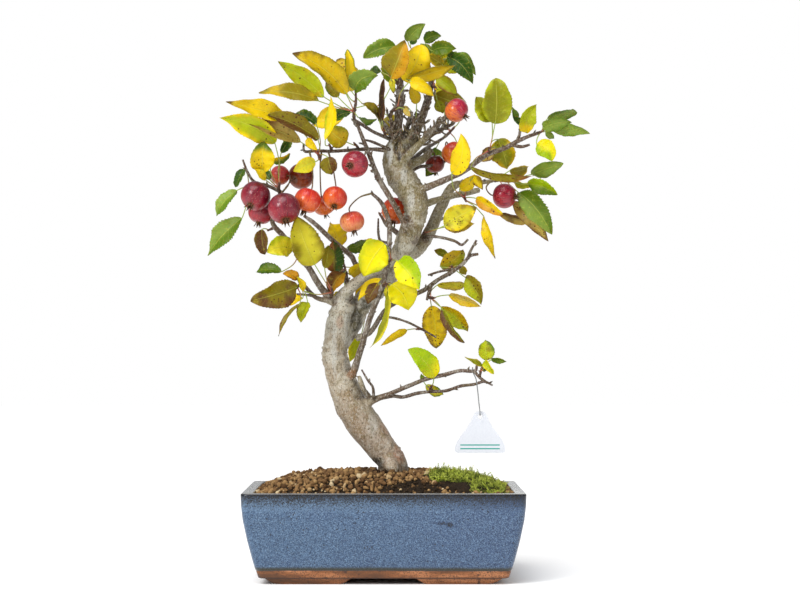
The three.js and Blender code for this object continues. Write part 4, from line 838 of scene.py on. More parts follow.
def makeGround():
    clay, soil = clayFinish(), soilFinish()
    grains, crumbs = grainGrower(clay), grainGrower(soil)
    bed = sheetOver(onGrains, grainTop)
    bare = sheetOver(onBareSoil, soilTop)
    addPiece("clayGrainBed", thickSheet(bed, 2.4), [soil], "granules", "granules")
    scatter("paleRimGrains", sheetOver(onRim, grainTop), grains, clay)
    scatter("clayGrains", bed, grains, clay)
    scatter("smallClayGrains", bed, grains, clay)
    scatter("strayGrains", bare, grains, clay)
    addPiece("bareSoilBed", thickSheet(bare, 3.2), [soil], "soil")
    scatter("soilCrumbs", bare, crumbs, soil, "soil")
    scatter("vergeCrumbs", sheetOver(onVerge, vergeTop), crumbs, soil, "soil")
    recoat("soil", soil)
    return soil


moss = {
    "area": (38, 136, -86, 24),
    "middle": (88, -34),
    "reach": (52, 62),
    "bed": 1.4,
    "rise": 3.6,
    "gap": 1.35,
    "density": 700000.0,
    "shootLength": 4.2,
    "shootLevels": 6,
    "hairs": 46,
    "seed": 23,
    "dark": srgb(44, 56, 12),
    "mid": srgb(158, 180, 36),
    "tip": srgb(236, 246, 112),
    "straw": srgb(196, 190, 110),
    "dry": srgb(150, 110, 60),
}


def mossHeight(x, y):
    (middleX, middleY), (reachX, reachY) = moss["middle"], moss["reach"]
    across = ((x - middleX) / reachX) ** 2 + ((y - middleY) / reachY) ** 2
    lumps = 2.2 * wave(x * 0.1, y * 0.1, 8) + 1.3 * wave(x * 0.26, y * 0.26, 2)
    front = min(1, max(0, (y + 86) / 30))
    return moundHeight(x, y) + moss["bed"] + moss["rise"] * front * max(0, 1 - 0.8 * across) + lumps


def mossGrows(x, y):  # bare gaps between the tufts, and dark soil left of front
    if not inside(ground["moss"], x, y, -3) or (x < 94 and y < -60 - 0.2 * (x - 60)):
        return False
    return wave(x * 0.15, y * 0.15, 3) > -0.16


def mossPad(x, y):
    return inside(ground["moss"], x, y, -1)


def mossShoot():  # one shoot: a bent stem with narrow leaflets round it
    shape = Shape()
    draw = random.Random(3)
    levels = moss["shootLevels"]
    for k in range(levels):
        s = k / (levels - 1)
        spot = Vector((0.9 * s * s, 0, moss["shootLength"] * s)) * mm
        for side in range(3):
            turn = 2.1 * side + 1.1 * k + draw.uniform(-0.3, 0.3)
            out = Vector((math.cos(turn), math.sin(turn), 0))
            wide = out.cross(Vector((0, 0, 1))) * 0.28 * mm
            tip = spot + (out * (1.9 - 0.8 * s) + Vector((0, 0, 0.7 + 0.8 * s))) * mm
            # dark at the foot of each shoot, pale at its tip: the moss's young tips, with painted
            # shade low in the cushion and painted highlight on the tips
            tint = mixTint(moss["dark"], moss["mid"], s)
            if s >= 0.5:
                tint = mixTint(moss["mid"], moss["tip"], 2 * s - 1)
            a, b = shape.point(spot - wide, tint), shape.point(spot + wide, tint)
            c = shape.point(tip, mixTint(tint, moss["tip"], 0.5))
            d = shape.point(spot + Vector((0, 0, 0.25 * mm)), tint)
            for corners in ((a, b, c), (b, d, c), (d, a, c)):
                shape.face(corners)
    return shape.mesh("mossShoot")


def mossFinish():
    paint = Finish("livingMoss", Roughness=0.75, Specular_IOR_Level=0.3)
    patch = paint.noise(95)
    paint.base(paint.mark("tint", "Color"))
    paint.cover(srgb(100, 120, 60), patch.band(0.5, 0.4), "MULTIPLY")
    paint.cover(srgb(212, 226, 62), patch.band(0.52, 0.62) * 0.7)
    stops = [(0, srgb(50, 72, 8)), (0.5, srgb(140, 164, 34)), (1, srgb(234, 240, 96))]
    paint.cover(paint.ramp(paint.mark("tone"), stops), 0.35)
    paint.relief(paint.noise(500, 4), 0.0008, 0.6)
    return paint


def shootGrower(finish, shoot):
    grower = Grower("mossGrower", ("Gap", "Seed"))
    source = grower.read("GeometryNodeObjectInfo", "Geometry", {"Object": shoot})
    tilt = {0: grower.vector((-1.35, -1.35, 0.0), (1.35, 1.35, 6.28), 4)}
    turn = grower.read("FunctionNodeEulerToRotation", 0, tilt)
    clumps = grower.read("ShaderNodeTexNoise", "Fac", {"Scale": 150.0, "Detail": 1.0})
    sockets = {"Value": clumps, "From Min": 0.36, "From Max": 0.66, "To Min": 0.45, "To Max": 1.7}
    tall = grower.read("ShaderNodeMapRange", "Result", sockets)
    size = grower.scaled(grower.vector((0.6, 0.6, 0.5), (1.2, 1.2, 1.4), 8), tall)
    points = grower.spread(moss["density"])["Points"]
    return grower.finish(grower.lay(points, source, turn, size), finish)


def mossHairs():  # dry stalks that stand over the cushion
    hairs = Shape()
    draw = random.Random(moss["seed"])
    for _ in range(moss["hairs"]):
        x, y = draw.uniform(50, 128), draw.uniform(-78, 6)
        if not inside(ground["moss"], x, y, -8) or not mossGrows(x, y):
            continue
        tall = draw.uniform(6, 14)
        dx, dy = draw.uniform(-7, 7), draw.uniform(-5, 5)
        z = mossHeight(x, y)
        path = [
            [x, y, z - 1, 0.14],
            [x + dx * 0.3, y + dy * 0.3, z + tall * 0.55, 0.12],
            [x + dx, y + dy, z + tall, 0.09],
        ]
        tone = moss["straw" if draw.random() < 0.6 else "dry"]
        rings = tubeRings(smoothPath(path, 3 * mm), 4)
        hairs.rings(rings, tints=[tone] * len(rings))
    return hairs.mesh("mossHairs")


def makeMoss(soil):
    finish = mossFinish()
    pad = sheetOver(mossPad, mossHeight, 2.5, moss["area"])
    addPiece("mossCushion", thickSheet(pad, 3.6), [soil], "moss", "moss")
    tufts = sheetOver(mossGrows, mossHeight, 2.5, moss["area"])
    shoot = addObject("mossShootSource", mossShoot())
    values = {"Gap": moss["gap"] * mm, "Seed": moss["seed"]}
    shoots = grown("mossShoots", tufts, shootGrower(finish, shoot), values)
    bpy.data.objects.remove(shoot)
    addPiece("mossShoots", shoots, [finish], "moss")
    addPiece("mossHairs", mossHairs(), [finish], "moss")


# Wood: [x, y, z, radius] rows through each limb, from where it leaves its parent

limbs = {
    "lower trunk": [
        [13, 0, 92, 17.5], [11, 0, 109, 17.2], [8, 0, 126, 15.6], [-1, 0, 138, 16],
        [-17, 1, 159, 18.2], [-32, 2, 181, 18.4], [-42, 3, 202, 17.2], [-49, 4, 221, 14.8],
        [-54, 5, 242, 14], [-52, 5, 258, 14.2], [-48, 4, 284, 13.4], [-42, 3, 300, 12.4],
    ],
    "front limb": [
        [-50, 0, 296, 9], [-43, -3, 309, 7], [-23, -8, 326, 5.6], [-3, -8, 337, 5],
        [10, -5, 345, 5], [20, 0, 353, 5],
    ],
    "back trunk": [
        [-47, 9, 253, 9], [-35, 14, 278, 11.5], [-24, 17, 299, 11.5], [-7, 17, 316, 11.5],
        [9, 10, 335, 11.5], [19, 2, 353, 11.5], [29, -2, 378, 12], [35, -3, 397, 12.8],
        [34, -2, 412, 14.6], [29, -1, 422, 15.2], [22, 0, 432, 15.8], [16, 2, 443, 15.6],
        [14, 3, 456, 15.6], [16, 3, 469, 14.6], [18, 3, 480, 9],
    ],
    "side branch": [
        [-43, -2, 213, 6], [-35, -9, 220, 4.8], [-28, -15, 239, 3.7], [-22, -19, 258, 3.4],
        [-15, -21, 282, 3.2], [-7, -22, 302, 3.1], [-1, -22, 317, 3.1], [2, -21, 332, 3.1],
        [5, -20, 347, 2.9], [6, -18, 383, 2.8], [2, -18, 398, 2.6], [-4, -19, 409, 2.2],
        [-14, -22, 418, 1.5],
    ],
    "front left branch": [
        [32, -6, 368, 5], [27, -14, 376, 3.1], [18, -18, 393, 3.2], [6, -23, 414, 3.2],
        [-5, -27, 432, 3.1], [-14, -30, 454, 2.7], [-22, -33, 474, 2.2], [-29, -35, 491, 1.7],
        [-33, -36, 496, 1.3],
    ],
    "crown left stem": [
        [9, 0, 478, 2.6], [2, -6, 480, 2], [-12, -18, 485, 1.8], [-25, -30, 492, 1.8],
        [-33, -36, 496, 1.8],
    ],
    "left branch": [
        [13, 0, 460, 4], [3, -7, 465, 2.6], [-16, -16, 466, 2], [-37, -24, 464, 1.9],
        [-57, -32, 462, 1.8], [-72, -38, 462, 1.8], [-85, -42, 461, 1.5], [-86, -44, 469, 1],
    ],
    "crown loop": [
        [7, -8, 466, 2], [-5, -14, 471, 1.6], [-14, -20, 474, 1.4], [-20, -24, 475, 1.1],
    ],
    "crown stem a": [[13, -6, 470, 3], [10, -9, 478, 2.2], [7, -14, 506, 1.4]],
    "crown stem b": [
        [16, 2, 467, 6], [14, 0, 479, 5.4], [16, -4, 499, 5], [17, -8, 515, 4.8],
        [18, -12, 533, 4.2], [18, -15, 547, 3],
    ],
    "crown stem c": [
        [22, 6, 465, 5], [31, 10, 479, 5], [39, 14, 496, 4.7], [46, 18, 516, 4.4], [50, 20, 530, 4],
        [53, 22, 547, 3.2], [56, 22, 555, 2.4],
    ],
    "crown stem d": [
        [26, -4, 460, 5], [39, -12, 472, 3.8], [52, -24, 485, 3.2], [65, -34, 497, 2.7],
        [72, -38, 500, 2],
    ],
    "crown stem e": [
        [31, 10, 468, 4], [51, 22, 484, 2.6], [60, 28, 491, 2.2], [76, 36, 499, 1.8],
        [79, 38, 502, 1.2],
    ],
    "crown stub f": [[22, 4, 448, 6], [41, 14, 457, 4.6], [48, 18, 463, 4.2], [52, 20, 470, 3.6]],
    "crown stem g": [
        [22, 6, 443, 4], [30, 14, 445, 2.4], [39, 20, 450, 2], [51, 26, 452, 1.9],
        [69, 36, 458, 1.6],
    ],
    "crown back stem": [
        [17, 8, 459, 6], [13, 22, 473, 4], [8, 42, 489, 3.2], [0, 62, 502, 2.6], [-7, 76, 513, 1.8],
    ],
    "crown back right": [
        [20, 10, 446, 5], [31, 28, 458, 2.7], [45, 50, 472, 2.2], [60, 70, 483, 1.8],
        [71, 82, 491, 1.3],
    ],
    "crown knob a": [[22, -2, 466, 6], [28, -6, 478, 4], [32, -8, 490, 2.6], [33, -9, 500, 1.6]],
    "crown knob b": [[19, 8, 470, 5], [24, 14, 487, 3.4], [28, 18, 502, 2.2], [29, 20, 511, 1.4]],
    "right branch": [
        [31, -4, 419, 5.4], [42, -11, 423, 4.2], [64, -20, 431, 3.6], [88, -27, 442, 3.2],
        [111, -33, 458, 2.8], [131, -38, 465, 2.6], [142, -41, 471, 2.4], [156, -44, 477, 2],
        [166, -46, 480, 1.6],
    ],
    "right branch spur": [[138, -40, 468, 2], [148, -41, 466, 1.8], [157, -42, 468, 1.3]],
    "right branch twig": [[142, -41, 470, 1.8], [146, -40, 479, 1.6], [147, -38, 492, 1.1]],
    "second right branch": [
        [33, 2, 403, 5], [47, 4, 408, 4.2], [57, 8, 412, 3.6], [74, 14, 417, 3.6],
        [90, 20, 421, 3.6], [106, 26, 425, 3],
    ],
    "back right stem": [
        [22, 8, 349, 8], [38, 14, 359, 7.4], [49, 20, 375, 7], [58, 26, 394, 6.6], [66, 31, 411, 6],
        [76, 36, 429, 5], [92, 39, 434, 3], [114, 38, 435, 2.4], [126, 36, 437, 1.6],
    ],
    "back right spur": [[60, 28, 392, 3], [66, 34, 394, 1.6]],
    "curly twig": [
        [44, 14, 368, 3], [51, 6, 372, 1.9], [65, -4, 370, 1.6], [78, -10, 366, 1.5],
        [85, -12, 362, 1.5], [92, -13, 368, 1.2],
    ],
    "low right branch": [
        [-31, 8, 260, 4], [-15, 6, 267, 3], [0, 5, 289, 2.7], [14, 5, 300, 2.8], [44, 2, 313, 2.7],
        [59, -1, 324, 2.4], [75, -4, 333, 2.2], [87, -7, 342, 2], [94, -9, 350, 1.9],
        [103, -11, 352, 1.4],
    ],
    "low right fork": [[92, -8, 347, 1.8], [94, -12, 354, 1.6], [101, -15, 367, 1.1]],
    "low right cross twig": [[78, -3, 336, 1.6], [63, 6, 334, 1.4], [49, 14, 330, 1.1]],
    "low right bud": [[52, 1, 318, 2], [49, -6, 309, 2], [47, -10, 302, 1.2]],
    "thin twig": [
        [-5, 5, 282, 2], [7, -1, 283, 1.4], [25, -9, 278, 1.3], [43, -15, 269, 1.2],
        [57, -19, 261, 0.9],
    ],
    "left branch low": [
        [-50, 0, 297, 5.5], [-58, -5, 304, 4.4], [-69, -11, 316, 3.8], [-81, -19, 336, 3.4],
        [-93, -26, 351, 3.2], [-108, -35, 370, 3], [-119, -41, 383, 2.8], [-119, -46, 400, 2.5],
        [-109, -51, 416, 2.3],
    ],
    "far left twig": [
        [-109, -51, 416, 2], [-124, -52, 423, 1.8], [-138, -55, 427, 1.6], [-145, -58, 437, 1.4],
        [-150, -62, 450, 1],
    ],
    "left back branch": [
        [-4, 12, 329, 4], [-30, 8, 341, 3], [-36, 12, 351, 3], [-55, 20, 367, 2.9],
        [-76, 30, 387, 2.6], [-89, 38, 397, 1.8],
    ],
    "left stub": [
        [-55, -4, 299, 4], [-62, -9, 301, 3], [-73, -14, 304, 2.6], [-79, -19, 309, 2.3],
        [-89, -25, 321, 1.6],
    ],
    "left stub spur": [[-76, -16, 306, 1.8], [-83, -20, 307, 1.4], [-94, -24, 308, 1]],
    "fork twig": [[-40, -3, 309, 3], [-40, 8, 318, 1.6], [-41, 12, 334, 1]],
    "fork twig b": [[-37, -2, 311, 3], [-44, 20, 329, 1.6], [-48, 28, 345, 1.1]],
    "low branch": [
        [-23, -2, 187, 6], [-11, -8, 193, 4.2], [5, -13, 199, 2.8], [31, -22, 210, 2.4],
        [46, -27, 216, 2.3], [67, -34, 221, 2.2], [82, -38, 225, 2], [98, -42, 225, 1.8],
        [100, -43, 232, 1.2],
    ],
    "low branch knot": [[97, -42, 225, 1.8], [103, -44, 218, 1.6], [111, -46, 212, 1.4]],
    "low branch b": [
        [-15, -6, 193, 3], [-2, -8, 195, 2.2], [10, -9, 197, 2], [21, -10, 196, 2],
        [36, -12, 200, 1.9], [51, -14, 202, 1.8], [68, -16, 203, 1.7], [83, -18, 208, 1.7],
        [98, -20, 210, 1.6], [109, -22, 213, 1.5], [118, -24, 209, 1],
    ],
    "knot twig": [
        [-10, -9, 192, 2], [-11, -14, 196, 1.8], [-12, -18, 207, 1.4], [-17, -21, 214, 1.3],
        [-24, -24, 226, 0.9],
    ],
    "upright spur": [
        [3, -18, 364, 1.6], [-4, -14, 367, 1.3], [-6, -12, 376, 1.4], [-6, -12, 391, 0.8],
    ],
    "bark ridge": [[-27, -9, 219, 2], [-25, -11, 212, 3], [-22, -10, 204, 3], [-15, -7, 195, 3]],
    "back low branch": [
        [-35, 20, 278, 6], [-36, 38, 296, 3.4], [-38, 58, 315, 2.8], [-43, 76, 329, 2.2],
        [-48, 88, 339, 1.6],
    ],
    "back mid branch": [
        [23, 8, 364, 6], [18, 30, 374, 3.4], [11, 52, 382, 2.8], [4, 72, 388, 2.2],
        [0, 84, 393, 1.6],
    ],
    "right root": [[5, 0, 128, 13], [13, -1, 122, 10.5], [21, -2, 116, 8]],
    "front root": [[5, -4, 127, 12], [7, -12, 123, 9.4], [10, -19, 118, 6.4], [12, -24, 113, 3.4]],
}
bark = {
    "pitch": 2.0,
    "voxel": 1.12,
    "thick": 2.3,
    "stoutSides": 14,
    "thinSides": 9,
    "markReach": 1.6,
    "beige": srgb(178, 165, 138),
    "olive": srgb(128, 115, 68),
    "umber": srgb(86, 66, 43),
    "pink": srgb(130, 101, 84),
    "cream": srgb(212, 207, 190),
    "silver": srgb(206, 205, 196),
    "ochre": srgb(142, 112, 68),
    "tan": srgb(172, 124, 96),
    "rust": srgb(140, 92, 54),
    "dark": srgb(44, 35, 28),
    "shade": srgb(66, 60, 42),
    "young": srgb(92, 58, 50),
    "stem": srgb(72, 46, 38),
    "scarsShadeAndHighlights": [  # scar marks with painted shade and painted highlights among them: x, y, z, reach each way, tone, how strong, how deep
        (-34, -13, 221, 8, 12, 8, "rust", 0.85, 0),
        # a split in the crown, sunk and painted dark as the shade inside it, this row and the next
        (13, -6, 470, 2.8, 16, 10, "dark", 1, 3),
        (17.5, -6, 458, 2.2, 14, 7, "dark", 1, 2.4),
        # painted highlight: a silver streak beside the split
        (7, -6, 462, 4.5, 14, 16, "silver", 0.9, 0),
        # paler upper left of the lower trunk: cream bark, partly painted light on its lit side
        (-48, -14, 256, 13, 12, 36, "cream", 0.5, 0),
        (25, -8, 470, 6, 9, 5, "dark", 0.7, 0.8),
        # painted shade where the trunk's foot meets the grains, with dark soil staining
        (-6, -6, 124, 12, 20, 9, "dark", 0.9, 0),
        (16, -6, 118, 24, 24, 6, "umber", 0.4, 0),
        (18, -10, 136, 9, 14, 14, "tan", 0.7, 0),
        (3, -10, 162, 9, 14, 11, "tan", 0.45, 0),
        (-50, -8, 253, 7, 12, 14, "ochre", 0.55, 0),
        (-48, -8, 278, 5, 12, 10, "tan", 0.5, 0),
        (-42, -12, 198, 9, 12, 9, "ochre", 0.55, 0),
        # painted shade in the hollow between the lower trunk and the back trunk, this row and the
        # next
        (-30, 3, 278, 9, 14, 20, "shade", 0.9, 0),
        (-20, 3, 297, 9, 14, 9, "shade", 0.8, 0),
        # a small hole, sunk and painted dark as the shade inside it
        (-61, 2, 285, 2.5, 10, 2.5, "dark", 0.9, 0.8),
        (-9, -8, 188, 5, 8, 5, "rust", 0.4, 0),
        # painted highlights: tall narrow silver streaks down the front of the trunk, this row to
        # the end
        (22, -12, 437, 5, 9, 14, "silver", 0.65, 0),
        (30, -14, 411, 5, 9, 15, "silver", 0.65, 0),
        (-54, -12, 247, 4, 9, 40, "silver", 0.5, 0),
        (-41, -8, 269, 3, 9, 28, "silver", 0.45, 0),
        (-11, -14, 171, 6, 9, 24, "silver", 0.45, 0),
    ],
}
spurs = {  # dead stubs and bud spurs: mm between them, length, radius
    "crown": {"gap": 2.2, "length": (3, 11), "radius": (0.7, 1.6), "from": 0.474},
    "knotty": {"gap": 6, "length": (1.5, 5), "radius": (1.0, 1.7), "from": 0},
    "branch": {"gap": 26, "length": (1.8, 3.6), "radius": (0.8, 1.1), "from": 0},
    "top": 0.556,
    "pitch": 0.6,
    "finePitch": 0.42,
    "knobs": (0.42, 1.7),
    "sides": 7,
    "onCrown": (
        "crown stem a", "crown stem b", "crown stem c", "crown stem d", "crown stem e",
        "crown stub f", "crown knob",
    ),
    "none": (
        "trunk", "limb", "ridge", "root", "loop", "curly", "thin twig", "stem g", "crown left",
        "crown back",
    ),
}
pores = {"gap": 5.2, "size": 0.5, "seed": 9, "density": 60000.0}
bud = {
    "tone": srgb(88, 50, 40),
    "tip": srgb(150, 110, 84),
    "rows": [(0, 0.5), (0.25, 0.62), (0.55, 0.5), (0.85, 0.22), (1, 0.05)],
    "sides": 7,
}


def toneOf(limb):
    if limb in ("lower trunk", "front limb", "right root", "front root"):
        return bark["beige"]
    if limb in ("back trunk", "back right stem", "second right branch"):
        return mixTint(bark["olive"], bark["beige"], 0.3)
    if limb.startswith("crown"):
        return mixTint(bark["umber"], bark["dark"], 0.5 if "back" in limb else 0.2)
    pinkish = mixTint(bark["umber"], bark["pink"], 0.35)
    if limb == "side branch":
        return mixTint(pinkish, bark["dark"], 0.3)
    if limb.startswith(("front left", "left", "far", "right", "fork", "low branch")):
        return pinkish
    return bark["umber"]


def knobbly(samples, seed, ring=0.10, gap=3.4):  # swells the wood at its old bud scars
    result = []
    run = 0.0
    before = samples[0][0]
    for spot, radius in samples:
        run += (spot - before).length / mm
        before = spot
        swell = 1 + ring * max(0, math.cos(2 * math.pi * run / gap + seed)) ** 3
        result.append((spot, radius * swell * (1 + 0.16 * wave(run * 0.12, seed, 2))))
    return result


def addBud(shape, foot, ahead, size, slot=1):
    samples = [(foot + ahead * size * mm * s, r * size * 0.5 * mm) for s, r in bud["rows"]]
    tones = [mixTint(bud["tone"], bud["tip"], s) for s, _ in bud["rows"]]
    shape.rings(tubeRings(samples, bud["sides"]), slot, tones)


def spurKind(limb):
    if limb == "front left branch":
        return spurs["knotty"]
    return spurs["crown" if limb.startswith(spurs["onCrown"]) else "branch"]


def addSpurs(shape, name, path, seed):
    if any(part in name for part in spurs["none"]):
        return
    draw = random.Random(seed)
    kind = spurKind(name)
    gap = kind["gap"] * mm
    samples = smoothPath(path, spurs["pitch"] * mm)
    run, due = 0.0, gap * draw.uniform(0.6, 1.4)
    for (before, _), (spot, radius) in zip(samples, samples[1:]):
        run += (spot - before).length
        if run < due or not kind["from"] < spot.z < spurs["top"]:
            continue
        due = run + gap * draw.uniform(0.5, 1.6)
        along = (spot - before).normalized()
        out = Vector((draw.uniform(-1, 1), draw.uniform(-1, 0.7), draw.uniform(-0.6, 1)))
        out = (out - along * out.dot(along)).normalized()
        length = draw.uniform(*kind["length"]) * mm
        thick = min(draw.uniform(*kind["radius"]), max(0.8, 0.9 * radius / mm))
        rise = (out + along * draw.uniform(-0.2, 1.3) + Vector((0, 0, 0.25))).normalized()
        turn = rise + out * draw.uniform(-0.5, 0.4) + Vector((0, 0, draw.uniform(-0.2, 0.6)))
        turn = turn.normalized()
        start = spot + out * radius * 0.5
        middle = start + rise * length * 0.55
        end = middle + turn * length * 0.5
        path = [(start, thick * 1.3), (middle, thick * 0.9), (end, thick)]
        rows = curveThrough(path, spurs["finePitch"] * mm)
        grey = draw.random()
        tone = mixTint(bark["umber"], bark["dark"], draw.uniform(0, 0.6))
        tone = mixTint(tone, bark["pink"], 0.6 * grey * grey)
        rings = tubeRings(knobbly(rows, draw.uniform(0, 6), *spurs["knobs"]), spurs["sides"])
        tones = [mixTint(tone, bark["olive"], 0.4 * draw.random()) for _ in rings]
        shape.rings(rings, tints=tones)
        addBud(shape, end, turn, 1.9 * thick, 0)


def splitLimb(path):  # the stout part of a limb, and its thin end
    samples = smoothPath(path, bark["pitch"] * mm)
    stout = [k for k, (_, r) in enumerate(samples) if r >= bark["thick"] * mm]
    last = stout[-1] if stout else -1
    thin = samples[max(0, last - 2) :] if last < len(samples) - 1 else []
    return samples[: last + 2] if stout else [], thin


def halved(samples):  # one more sample between each two
    fine = samples[:1]
    for a, b in zip(samples, samples[1:]):
        fine += [(a[0].lerp(b[0], 0.5), (a[1] + b[1]) / 2), b]
    return fine


def limbMarks(name, samples, seed):  # place, radius, way along, tone and limb, one per ring
    marks = []
    run = 0.0
    for k, (spot, radius) in enumerate(samples):
        before = samples[max(k - 1, 0)][0]
        ahead = samples[min(k + 1, len(samples) - 1)][0] - before
        run += (spot - before).length / mm
        z = spot.z
        old = bark["beige"] if z < 0.37 else mixTint(bark["olive"], bark["beige"], 0.16)
        share = smoothstep(4, 26, run)
        if name.startswith(spurs["onCrown"]):
            share = max(smoothstep(0.468, 0.494, z), 0.8 * smoothstep(20, 36, run))
        tone = mixTint(old, toneOf(name), share)
        if name.startswith("crown stem"):  # darker towards the tip, like the next one
            tone = mixTint(tone, bark["stem"], smoothstep(0.495, 0.53, z))
        if name == "front left branch":
            tone = mixTint(tone, bark["stem"], 0.7 * smoothstep(0.43, 0.455, z))
        marks.append((spot, radius, ahead.normalized(), tone, seed))
    return marks


def fused(mesh, voxel):
    host = addObject("fuseHost", mesh)
    remesh = host.modifiers.new("fuse", "REMESH")
    remesh.mode = "VOXEL"
    remesh.voxel_size = voxel
    soften = host.modifiers.new("soften", "SMOOTH")
    soften.factor = 0.5
    soften.iterations = 3
    return plainCopy(host)


def ruffle(spot, scale, shift=(0, 0, 0)):
    return noise.noise(spot * scale + Vector(shift))


def nearWood(tree, marks, spot):  # thickness and way of the nearest limb, tone, how near a crotch
    near = [(far - marks[k][1], marks[k]) for _, k, far in tree.find_n(spot, 8)]
    depth, (_, radius, along, _, own) = min(near, key=lambda hit: hit[0])
    other = [far - depth for far, mark in near if mark[4] != own]
    crotch = smoothstep(3.2, 0.2, min(other) / mm) if other else 0
    blend = [(math.exp((depth - far) / (1.6 * mm)), mark[3]) for far, mark in near]
    total = sum(share for share, _ in blend)
    tone = tuple(sum(share * t[i] for share, t in blend) / total for i in range(4))
    return radius / mm, along, tone, crotch


def stainedAndShaded(tone, z, size, crotch, stain, fleck, thread):  # one coat of bark tone over another, with painted shade where limbs meet
    big = smoothstep(2.5, 8.5, size)
    low = smoothstep(0.3, 0.12, z)
    bend = smoothstep(0.19, 0.24, z) * smoothstep(0.38, 0.33, z)
    creamy = smoothstep(0.0, 0.5, stain + 0.4 * fleck + 0.3 * thread)
    for kind, share in (
        ("cream", (0.55 - 0.25 * smoothstep(0.36, 0.4, z)) * creamy * big),
        ("cream", 0.7 * bend * big),
        ("umber", 0.3 * smoothstep(0.215, 0.17, z) * big),
        ("tan", 0.3 * low * big),
        ("ochre", (0.4 + 0.3 * low) * smoothstep(0.0, 0.45, -stain - 0.5 * fleck) * big),
        ("rust", 0.5 * crotch * (1 - low)),
        # painted shade: darkest where two limbs meet
        ("dark", 0.6 * crotch * crotch),
    ):
        tone = mixTint(tone, bark[kind], share)
    return tone


def scarredShadedAndLit(tone, spot, thread):  # the tone with its scar marks, painted shade and painted highlights, and how deep the wood is sunk there
    at = (spot - treeOffset) / mm
    ragged = 0.35 * ruffle(at, 0.25) + 0.2 * thread
    sunk = 0
    for *middle, wide, across, tall, kind, share, deep in bark["scarsShadeAndHighlights"]:
        off = at - Vector(middle)
        far = (off.x / wide) ** 2 + (off.y / across) ** 2 + (off.z / tall) ** 2
        if far < bark["markReach"]:
            hit = share * smoothstep(1.0, 0.25, far + ragged)
            tone = mixTint(tone, bark[kind], hit)
            sunk += deep * hit
    return tone, sunk


def weatherAndPaintedLight(mesh, marks):  # muscle-like swellings along the limbs, then tone by the nearest limb, with painted shade and painted highlights
    tree = kdtree.KDTree(len(marks))
    for k, mark in enumerate(marks):
        tree.insert(mark[0], k)
    tree.balance()
    tones, moved = [], []
    for vertex in mesh.vertices:
        spot = vertex.co
        here = spot / mm
        size, along, tone, crotch = nearWood(tree, marks, spot)
        drawn = (spot - along * spot.dot(along) * 0.72) / mm  # drawn out along the limb
        swell = ruffle(drawn, 0.11) * min(1.5, 0.11 * size)
        ribs = 0.75 * abs(ruffle(drawn, 0.3, (7, 3, 1))) * min(0.8, 0.06 * size)
        pits = max(0, ruffle(here, 0.16, (3, 9, 5)) - 0.42) * min(2.6, 0.16 * size)
        stain = ruffle(drawn, 0.055, (2, 8, 4))
        fleck = ruffle(here, 0.13, (6, 1, 3))
        thread = ruffle(drawn, 0.3, (1, 5, 2))
        tone = stainedAndShaded(tone, spot.z, size, crotch, stain, fleck, thread)
        tone, sunk = scarredShadedAndLit(tone, spot, thread)
        tones.append(tone)
        moved.append(spot + vertex.normal * (swell + ribs - pits - sunk) * mm)
    for vertex, spot in zip(mesh.vertices, moved):
        vertex.co = spot
    return tinted(mesh, tones)


def barkFinish():
    paint = Finish("appleBark", Specular_IOR_Level=0.3)
    patches = paint.noise(95, 4, 0.6)
    speckle = paint.noise(640, 4, 0.75, paint.stretched((1, 1, 0.5)))
    paint.base(paint.mark("tint", "Color"))
    for kind, share in (
        ("cream", patches.band(0.5, 0.66) * 0.35),
        ("olive", patches.band(0.48, 0.34) * 0.4),
        ("silver", speckle.band(0.52, 0.62) * 0.55),
        ("shade", speckle.band(0.46, 0.38) * 0.72),
        ("dark", paint.noise(1150, 2, 0.6).band(0.42, 0.32) * 0.6),
    ):
        paint.cover(bark[kind], share)
    paint.rough(speckle + patches, 0.26, 0.5)
    paint.relief(patches, 0.0012, 0.5)
    paint.relief(speckle, 0.0005, 0.8)
    return paint


def poreFinish():
    paint = Finish("corkPore", Roughness=0.95, Specular_IOR_Level=0.15)
    stops = [
        (0.0, srgb(84, 62, 46)), (0.55, srgb(112, 88, 66)),
        (0.7, srgb(176, 160, 134)), (1.0, srgb(196, 182, 156)),
    ]
    paint.base(paint.ramp(paint.mark("tone"), stops))
    paint.relief(paint.noise(1200), 0.0003, 0.8)
    return paint


def poreGrower(finish):
    grower = Grower("poreGrower", ("Gap", "Size", "Seed"))
    spread = grower.spread(pores["density"])
    sockets = {"Radius": 1.0, "Subdivisions": 2}
    ball = grower.smooth(grower.read("GeometryNodeMeshIcoSphere", "Mesh", sockets))
    size = grower.vector((0.6, 0.35, 0.35), (2.4, 0.8, 0.6), 5)
    size = grower.scaled(size, grower.start["Size"])
    return grower.finish(grower.lay(spread["Points"], ball, spread["Rotation"], size), finish)


def makeWood():
    stout, ends = Shape(), Shape()
    marks = []
    for seed, (name, path) in enumerate(limbs.items()):
        big, thin = splitLimb(path)
        if big:
            stout.rings(tubeRings(big, bark["stoutSides"]))
            marks += limbMarks(name, big, seed)
        if len(thin) > 1:
            rings = tubeRings(knobbly(halved(thin), seed), bark["thinSides"])
            tone = toneOf(name)
            ends.rings(rings, tints=fade(tone, mixTint(tone, bark["young"], 0.6), len(rings)))
        addSpurs(ends, name, path, seed + 40)
    wood = weatherAndPaintedLight(fused(stout.mesh("stoutWood"), bark["voxel"] * mm), marks)
    finish, pore = barkFinish(), poreFinish()
    addPiece("trunkWood", wood, [finish], "bark", "trunk")
    addPiece("twigWood", ends.mesh("twigWood"), [finish], "bark", "trunk")
    values = {"Gap": pores["gap"] * mm, "Size": pores["size"] * mm, "Seed": pores["seed"]}
    raised = grown("barkPores", wood.copy(), poreGrower(pore), values)
    addPiece("barkPores", raised, [pore], "bark")


# Sprays: rows [x, y, z, radius] through the twig, then one row for each leaf with the twig row
# it grows from, foot x y z, tip x y z, width, roll, fold, arch, bend and how it has turned.

